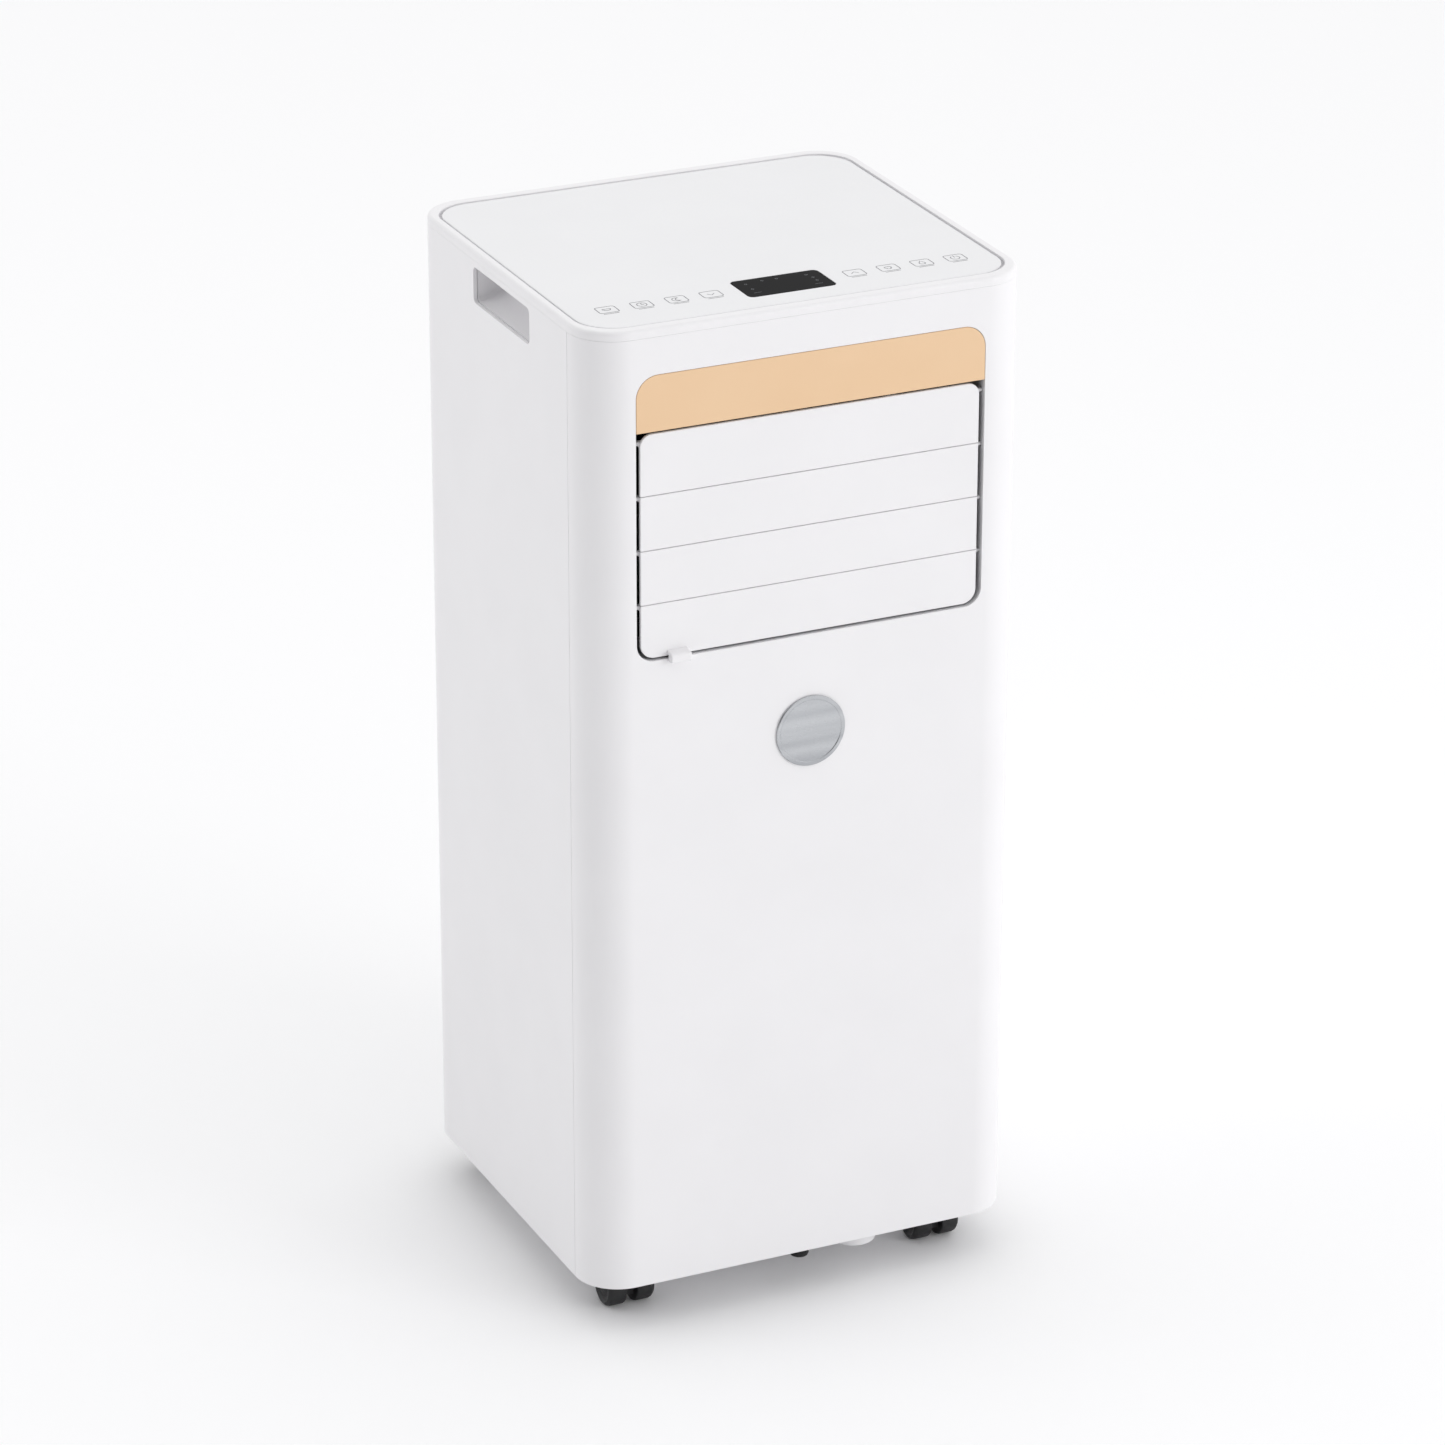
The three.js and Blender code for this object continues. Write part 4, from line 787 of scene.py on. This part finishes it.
# turned fittings on the back: (radius, place along Y) from the inside outwards
boreR, tubeR, flangeR = 59.5, 62, collarBox[1]
backFace = rearY + 0.3
collarProfile = [(boreR, collarBox[2]), (tubeR, collarBox[2]), (tubeR, backFace), (flangeR - 0.5, backFace),
                 (flangeR, rearY + 0.8), (flangeR, rearY + 2.2), (flangeR - 0.8, rearY + 3),
                 (tubeR + 2, rearY + 3.2), (tubeR + 0.6, rearY + 3.8), (tubeR, rearY + 4.8),
                 (tubeR, rearY + 5.9), (tubeR - 0.6, collarBox[3]), (boreR + 0.6, collarBox[3]),
                 (boreR, rearY + 5.9)]
fit(dress(turned("exhaust_collar_ring", collarProfile, (0, 0, collarZ), "y", 96), white, 0), "root",
    "exhaust_collar")

capX, capZ = centreOf(drainBox)
capProfile = [(0, drainBox[2]), (5, drainBox[2]), (6, drainBox[2] + 1), (6, backFace), (8.2, backFace),
              (9, rearY + 1), (9, rearY + 5.2), (8.2, drainBox[3]), (0, drainBox[3])]
fit(dress(turned("drain_cap_rubber", capProfile, (capX, 0, capZ), "y", 48), "rubber black", 0),
    "rear_drain", "drain_cap")
glandX, glandZ = centreOf(glandBox)
glandProfile = [(4.2, glandBox[2]), (5.4, glandBox[2]), (5.4, backFace), (8, backFace), (8, rearY + 1.2),
                (6.4, glandBox[3] - 0.5), (5.8, glandBox[3]), (4.8, glandBox[3]), (4.2, glandBox[3] - 0.6)]
fit(dress(turned("cord_gland_bush", glandProfile, (glandX, 0, glandZ), "y", 48), "rubber black", 0), "root",
    "cord_gland")

# pan-head screws with a cross recess, one set for the rear casing
screwParts = []
for box in screwBoxes:
    x, z = centreOf(box)
    screw = turned("screw", [(0, box[2]), (1.3, box[2]), (1.6, box[2] + 2), (1.6, backFace),
                             (3.3, backFace), (3.3, rearY + 0.9), (2.6, box[3] - 0.2), (1.2, box[3]),
                             (0, box[3])], (x, 0, z), "y", 32)
    combine(screw, [block("slot", x - 2, x + 2, box[3] - 0.9, box[3] + 1, z - 0.4, z + 0.4),
                    block("slot", x - 0.4, x + 0.4, box[3] - 0.9, box[3] + 1, z - 2, z + 2)])
    screwParts.append(dress(screw, "zinc-plated steel", 0))
fit(merged("casing_screws", screwParts), "root", *["casing_screw_%d" % i for i in range(1, 5)])
print("stage: rear")

# base and casters
panBox = boxOf("base_pan")
pan = {"floor": 4, "inset": 2.8, "wall": 2.5, "floorThick": 3, "socketR": 9, "socketTop": 20, "boreR": 4.6,
       "boreTop": 17, "plugTop": 9}
sump = {"x": 48, "y": -112, "r": 18, "tipR": 14, "edge": 1}
panFloorZ = skirtZ + pan["floor"]


def panRing(inset, z):
    return planRing(inset, inset, cornerR - inset, z)


innerInset = pan["inset"] + pan["wall"]
tray = loft("base_pan_tray",
            [panRing(pan["inset"], panFloorZ), panRing(pan["inset"], panBox[5]),
             panRing(innerInset, panBox[5]), panRing(innerInset, panFloorZ + pan["floorThick"])])
sumpProfile = [(0, panBox[4]), (sump["tipR"], panBox[4]),
               (sump["tipR"] + sump["edge"], panBox[4] + sump["edge"]), (sump["r"], panFloorZ + 1),
               (0, panFloorZ + 1)]
well = turned("well", sumpProfile, (sump["x"], sump["y"], 0), "z", 64)
swivels = {}
for joint in frame["joints"]:
    if joint["name"].startswith("swivel_"):
        swivels[joint["name"][7:]] = (joint["pos_m"][0] / mm, joint["pos_m"][1] / mm)
sockets = [prism("socket", circlePoints(x, y, pan["socketR"], 40), "z", panFloorZ + 0.5,
                 panFloorZ + pan["socketTop"]) for x, y in swivels.values()]
combine(tray, [well] + sockets, "UNION")
bores = [prism("bore", circlePoints(x, y, pan["boreR"], 32), "z", panFloorZ - 1, panFloorZ + pan["boreTop"])
         for x, y in swivels.values()]
plugBox = boxOf("drain_plug")
plugX, plugY, _ = middle(plugBox)
plugR = (plugBox[1] - plugBox[0]) / 2
bores.append(prism("bore", circlePoints(plugX, plugY, plugR - 1, 32), "z", panFloorZ - 1,
                   panFloorZ + pan["plugTop"]))
combine(tray, bores)
fit(dress(tray, white, 0.5, 3), "root", "base_pan")
shaftR = plugR - 1.5
plugProfile = [(0, plugBox[4]), (shaftR - 0.6, plugBox[4]), (plugR - 0.7, plugBox[4] + 0.7),
               (plugR, plugBox[4] + 2.2), (plugR, panFloorZ - 0.3), (shaftR, panFloorZ - 0.3),
               (shaftR, plugBox[5] - 0.6), (shaftR - 0.6, plugBox[5]), (0, plugBox[5])]
fit(dress(turned("drain_plug_rubber", plugProfile, (plugX, plugY, 0), "z", 40), "rubber black", 0),
    "base_drain", "drain_plug")

caster = {"wheelR": 14, "trail": 8, "inner": 3.5, "wheelWidth": 13, "webHalf": 3, "axleHoleR": 3,
          "axleR": 2.4}
# (radius, height) of the swivel plate and its stem
crownProfile = [(0, 31), (9.2, 31), (10, 31.8), (10, 33.2), (9.2, 34), (4, 34), (4, 51), (3.2, 52), (0, 52)]
wheelR, inner, outer = caster["wheelR"], caster["inner"], caster["inner"] + caster["wheelWidth"]
# rounded tread, a groove beside it and a dished hub
tyre = [(0, inner), (wheelR - 1.5, inner), (wheelR - 0.4, inner + 0.5), (wheelR, inner + 1.6),
        (wheelR, outer - 3), (wheelR - 0.5, outer - 1.4), (wheelR - 1.6, outer - 0.3),
        (wheelR - 2.6, outer), (wheelR - 3.4, outer - 0.2), (wheelR - 4, outer - 1.2), (5.5, outer - 1.6),
        (4.8, outer - 0.6), (3.5, outer - 0.2), (0, outer - 0.1)]
for spot, (x, y) in swivels.items():
    axleY = y + caster["trail"]
    web = [(y - 8, 33), (y - 9, 28), (y - 2, 16), (axleY - 8, 8), (axleY, 4), (axleY + 8, 6),
           (axleY + 12, 14), (axleY + 11, 22), (axleY + 9, 27), (y + 8, 33)]
    fork = prism("caster_fork_web_" + spot, web, "x", x - caster["webHalf"], x + caster["webHalf"])
    combine(fork, [turned("crown", crownProfile, (x, y, 0), "z", 48)], "UNION")
    combine(fork, [turned("bore", rod(caster["axleHoleR"], x - 5, x + 5), (0, axleY, wheelR), "x", 32)])
    fit(dress(fork, nylon, 0.5, 3), "caster_" + spot, "caster_fork_" + spot)
    wheels = []
    for sign in (-1, 1):
        wheel = turned("wheel", [(r, x + sign * d) for r, d in tyre], (0, axleY, wheelR), "x", 56)
        wheels.append(dress(wheel, nylon, 0, angle=40))
    axle = turned("axle", rod(caster["axleR"], x - inner - 1, x + inner + 1), (0, axleY, wheelR), "x", 32)
    wheels.append(dress(axle, nylon, 0))
    fit(merged("caster_wheel_pair_" + spot, wheels), "wheels_" + spot, "caster_wheels_" + spot)
print("stage: base")

# inside
bodyOf = {node: body for body, nodes in frame["record"]["behaviour"]["bodies"].items() for node in nodes}


# a CAD node's own form, merged, with its flat faces joined and its edges eased
def refined(node, finish, edge=0.4, smoothAngle=cornerAngle):
    bm = bmesh.new()
    bm.from_mesh(frame["nodes"][node].data)
    bmesh.ops.remove_doubles(bm, verts=bm.verts, dist=0.00001)
    bmesh.ops.dissolve_limit(bm, angle_limit=math.radians(1), verts=bm.verts, edges=bm.edges)
    piece = linked(node + "_fine", meshFrom(node + "_fine", bm))
    return fit(dress(piece, finish, edge, 2, smoothAngle), bodyOf[node], node)


insides = {
    "louvre_link": ("polypropylene grey", 0.3), "exhaust_duct": ("polypropylene grey", 0.4),
    "deck": ("polypropylene grey", 0.4), "upper_scroll": (nylon, 0.3), "lower_scroll": (nylon, 0.3),
    "upper_fan_motor": ("zinc-plated steel", 0.4), "lower_fan_motor": ("zinc-plated steel", 0.4),
    "control_box": ("zinc-plated steel", 0.3), "main_board": ("lacquered circuit board", 0.2),
    "display_board": ("lacquered circuit board", 0.2), "terminal_cover": (nylon, 0.6),
    "suction_pipe": ("drawn copper", 0), "discharge_pipe": ("drawn copper", 0),
    "liquid_line": ("drawn copper", 0),
}
for node, (finish, edge) in insides.items():
    refined(node, finish, edge, 50 if node.endswith(("pipe", "line")) else cornerAngle)


# centrifugal wheels: a plate and hub at the motor's end, a ring at the inlet, and many raked blades
blower = {"upper": 40, "lower": 34, "rake": 38, "chord": 0.13, "thick": 1.1, "plate": 2, "ring": 4,
          "hubR": 12, "hubLong": 22, "boreR": 4.4, "boreDeep": 18, "innerShare": 0.84, "bladeShare": 0.91,
          "edge": 0.6}
for level in ("upper", "lower"):
    name = level + "_blower_wheel"
    x0, x1, y0, y1, z0, z1 = boxOf(name)
    centreX, _, centreZ = middle(boxOf(name))
    outerR, edge = (z1 - z0) / 2, blower["edge"]
    hubY, boreY = y0 + blower["hubLong"], y0 + blower["boreDeep"]
    plateY = y0 + blower["plate"]
    plateProfile = [(0, boreY), (blower["boreR"], boreY), (blower["boreR"], y0), (outerR - edge, y0),
                    (outerR, y0 + edge), (outerR, plateY), (blower["hubR"] + 3, plateY),
                    (blower["hubR"], plateY + 3), (blower["hubR"] - 1, hubY), (0, hubY)]
    innerR = outerR * blower["innerShare"]
    ringProfile = [(innerR, y1 - blower["ring"]), (outerR, y1 - blower["ring"]), (outerR, y1 - edge),
                   (outerR - edge, y1), (innerR + edge, y1), (innerR, y1 - edge)]
    parts = [dress(turned(name + part, profile, (centreX, 0, centreZ), "y", 72), nylon, 0)
             for part, profile in (("_plate", plateProfile), ("_ring", ringProfile))]
    size = (outerR * blower["chord"], blower["thick"], y1 - y0 - 2)
    parts.append(bladeRing(name + "_blades", nylon, blower[level], outerR * blower["bladeShare"], size,
                           blower["rake"], middle(boxOf(name))))
    fit(merged(name + "_moulding", parts), bodyOf[name], name)


# round vessels turned again with smooth domes
def vesselPiece(node, finish, neck, shoulder, domeSteps=8):
    box = boxOf(node)
    z0, z1 = box[4:]
    r = (box[1] - box[0]) / 2
    profile = [(0, z0), (neck, z0)]
    for angle in quarterTurn(domeSteps):
        profile.append((neck + (r - neck) * math.sin(angle), z0 + shoulder * (1 - math.cos(angle))))
    for angle in quarterTurn(domeSteps):
        profile.append((neck + (r - neck) * math.cos(angle), z1 - shoulder * (1 - math.sin(angle))))
    profile += [(neck, z1), (0, z1)]
    piece = turned(node + "_turned", profile, (*middle(box)[:2], 0), "z", 48)
    return fit(dress(piece, finish, 0), "root", node)


vesselPiece("accumulator", "enamelled steel black", 8, 14)
vesselPiece("filter_drier", "drawn copper", 3, 12)
vesselPiece("run_capacitor", "zinc-plated steel", 12, 2)

canBox = boxOf("compressor")
canX, canY, _ = middle(canBox)
# (radius, height) from the foot flange over the weld bead to the dome
canProfile = [(0, 49), (62.5, 49), (62.5, 52), (44, 52), (47, 56), (49, 61), (50, 66), (50, 138),
              (50.8, 139), (50.8, 141), (50, 142), (50, 210), (49, 217), (46.5, 224), (42, 229), (36, 233),
              (28, 236), (16, 237.6), (0, canBox[5])]
fit(dress(turned("compressor_can", canProfile, (canX, canY, 0), "z", 72), "enamelled steel black", 0),
    "root", "compressor")
for number in range(1, 4):
    box = boxOf("compressor_grommet_%d" % number)
    z0, z1 = box[4], box[5]
    foot = [(0, z0), (8.6, z0), (9, z0 + 0.6), (8.4, z0 + 2.6), (7.4, z0 + 3.6), (8, z0 + 4.6),
            (7.4, z1 - 0.5), (6.8, z1), (0, z1)]
    piece = turned("grommet_rubber_%d" % number, foot, (*middle(box)[:2], 0), "z", 32)
    fit(dress(piece, "rubber black", 0), "root", "compressor_grommet_%d" % number)

# heat-exchanger coils: thin fins with end plates and hairpin ends
coil = {"finPitch": 2.2, "finThick": 0.35, "endRoom": 8, "faceY": 3, "faceZ": 2, "plateThick": 1.5,
        "tubeR": 3.4, "tubeEnd": 8, "rowPitch": 24, "firstRow": 14, "rowLift": 3.5,
        "bendOut": 4}  # fins coarser than real
for node in ("condenser_coil", "evaporator_coil"):
    x0, x1, y0, y1, z0, z1 = boxOf(node)
    coreX = x1 - coil["endRoom"]
    coilY0, coilZ0, coilZ1 = y0 + coil["faceY"], z0 + coil["faceZ"], z1 - coil["faceZ"]
    pitch, rowPitch = coil["finPitch"], coil["rowPitch"]
    parts = [barRow(node + "_fins", fin, int(2 * coreX / pitch),
                    (-coreX + pitch / 2, (coilY0 + y1) / 2, (z0 + z1) / 2), (pitch, 0, 0),
                    (coil["finThick"], y1 - coilY0, coilZ1 - coilZ0))]
    for sign in (-1, 1):
        plateX0, plateX1 = sorted((sign * coreX, sign * (coreX + coil["plateThick"])))
        parts.append(dress(block("end plate", plateX0, plateX1, y0, y1, z0, z1), fin, 0.3))
    tube = rod(coil["tubeR"], coilY0 + coil["tubeEnd"], y1 - coil["tubeEnd"])
    for row in range(int((coilZ1 - coilZ0 - rowPitch) / rowPitch) + 1):
        z = coilZ0 + coil["firstRow"] + rowPitch * row + coil["rowLift"]
        for sign in (-1, 1):
            bend = turned("bend", tube, (sign * (coreX + coil["bendOut"]), 0, z), "y", 12)
            parts.append(dress(bend, fin, 0))
    fit(merged(node + "_core", parts), "root", node)
print("stage: inside")

# studio
world = bpy.data.worlds.new("soft studio")
bpy.context.scene.world = world
world.use_nodes = True
sky = world.node_tree
background = sky.nodes["Background"]
background.inputs["Color"].default_value = (1.0, 1.0, 1.0, 1.0)
# an even white room with a dark flag low at the front left, which the rounded corner picks up
flag = {"towards": (-0.76, -0.64, 0.09), "starts": 0.5, "full": 0.95, "room": 1.06, "dark": 0.1}
direction = addNode(sky, "ShaderNodeTexCoord").outputs["Generated"]
flagSide = addNode(sky, "ShaderNodeVectorMath", {"operation": "DOT_PRODUCT"})
flagSide.inputs[1].default_value = flag["towards"]
sky.links.new(direction, flagSide.inputs[0])
level = addNode(sky, "ShaderNodeMapRange",
                {"From Min": flag["starts"], "From Max": flag["full"], "To Min": flag["room"],
                 "To Max": flag["dark"]}, Value=flagSide.outputs["Value"])
sky.links.new(level.outputs["Result"], background.inputs["Strength"])

floorMaterial = bpy.data.materials.new("pale studio floor")
floorMaterial.use_nodes = True
floorShader = floorMaterial.node_tree.nodes["Principled BSDF"]
floorShader.inputs["Base Color"].default_value = linear("FCFCFD")
floorShader.inputs["Roughness"].default_value = 0.9
bpy.ops.mesh.primitive_plane_add(size=40, location=(0, 0, 0))
floor = bpy.context.object
floor.name = "studio_floor"
floor.data.materials.append(floorMaterial)


def softLight(name, place, size, power, target=(0, 0, 0.35)):
    data = bpy.data.lights.new(name, "AREA")
    data.shape, data.size, data.energy = "SQUARE", size, power
    light = linked(name, data)
    light.location = place
    light.rotation_euler = (Vector(target) - Vector(place)).to_track_quat("-Z", "Y").to_euler()


# low softboxes ahead to the right and behind to the left: they lift the front and the side, not the top
softLight("key", (2.1, -3.0, 1.3), 1.6, 24)
softLight("fill", (-3.1, 1.8, 1.3), 1.6, 9)

camera = {"azimuth": -24.697, "elevation": 23.25, "roll": 0.0935, "distance": 3.968, "lens": 150.2,
          "filmWidth": 36, "aimX": 0.0033, "aimAboveSkirt": 0.3236}
target = Vector((camera["aimX"], 0, camera["aimAboveSkirt"] + skirtZ * mm))
a, e = math.radians(camera["azimuth"]), math.radians(camera["elevation"])
back = Vector((math.sin(a) * math.cos(e), -math.cos(a) * math.cos(e), math.sin(e)))
lens = bpy.data.cameras.new("camera")
lens.lens, lens.sensor_width, lens.clip_end = camera["lens"], camera["filmWidth"], 100
viewer = linked("camera", lens)
facing = back.to_track_quat("Z", "Y").to_matrix().to_4x4() @ Matrix.Rotation(math.radians(camera["roll"]),
                                                                             4, "Z")
viewer.matrix_world = Matrix.Translation(target + back * camera["distance"]) @ facing
bpy.context.scene.camera = viewer
bpy.context.scene.view_settings.view_transform = "Standard"
print("stage: studio")
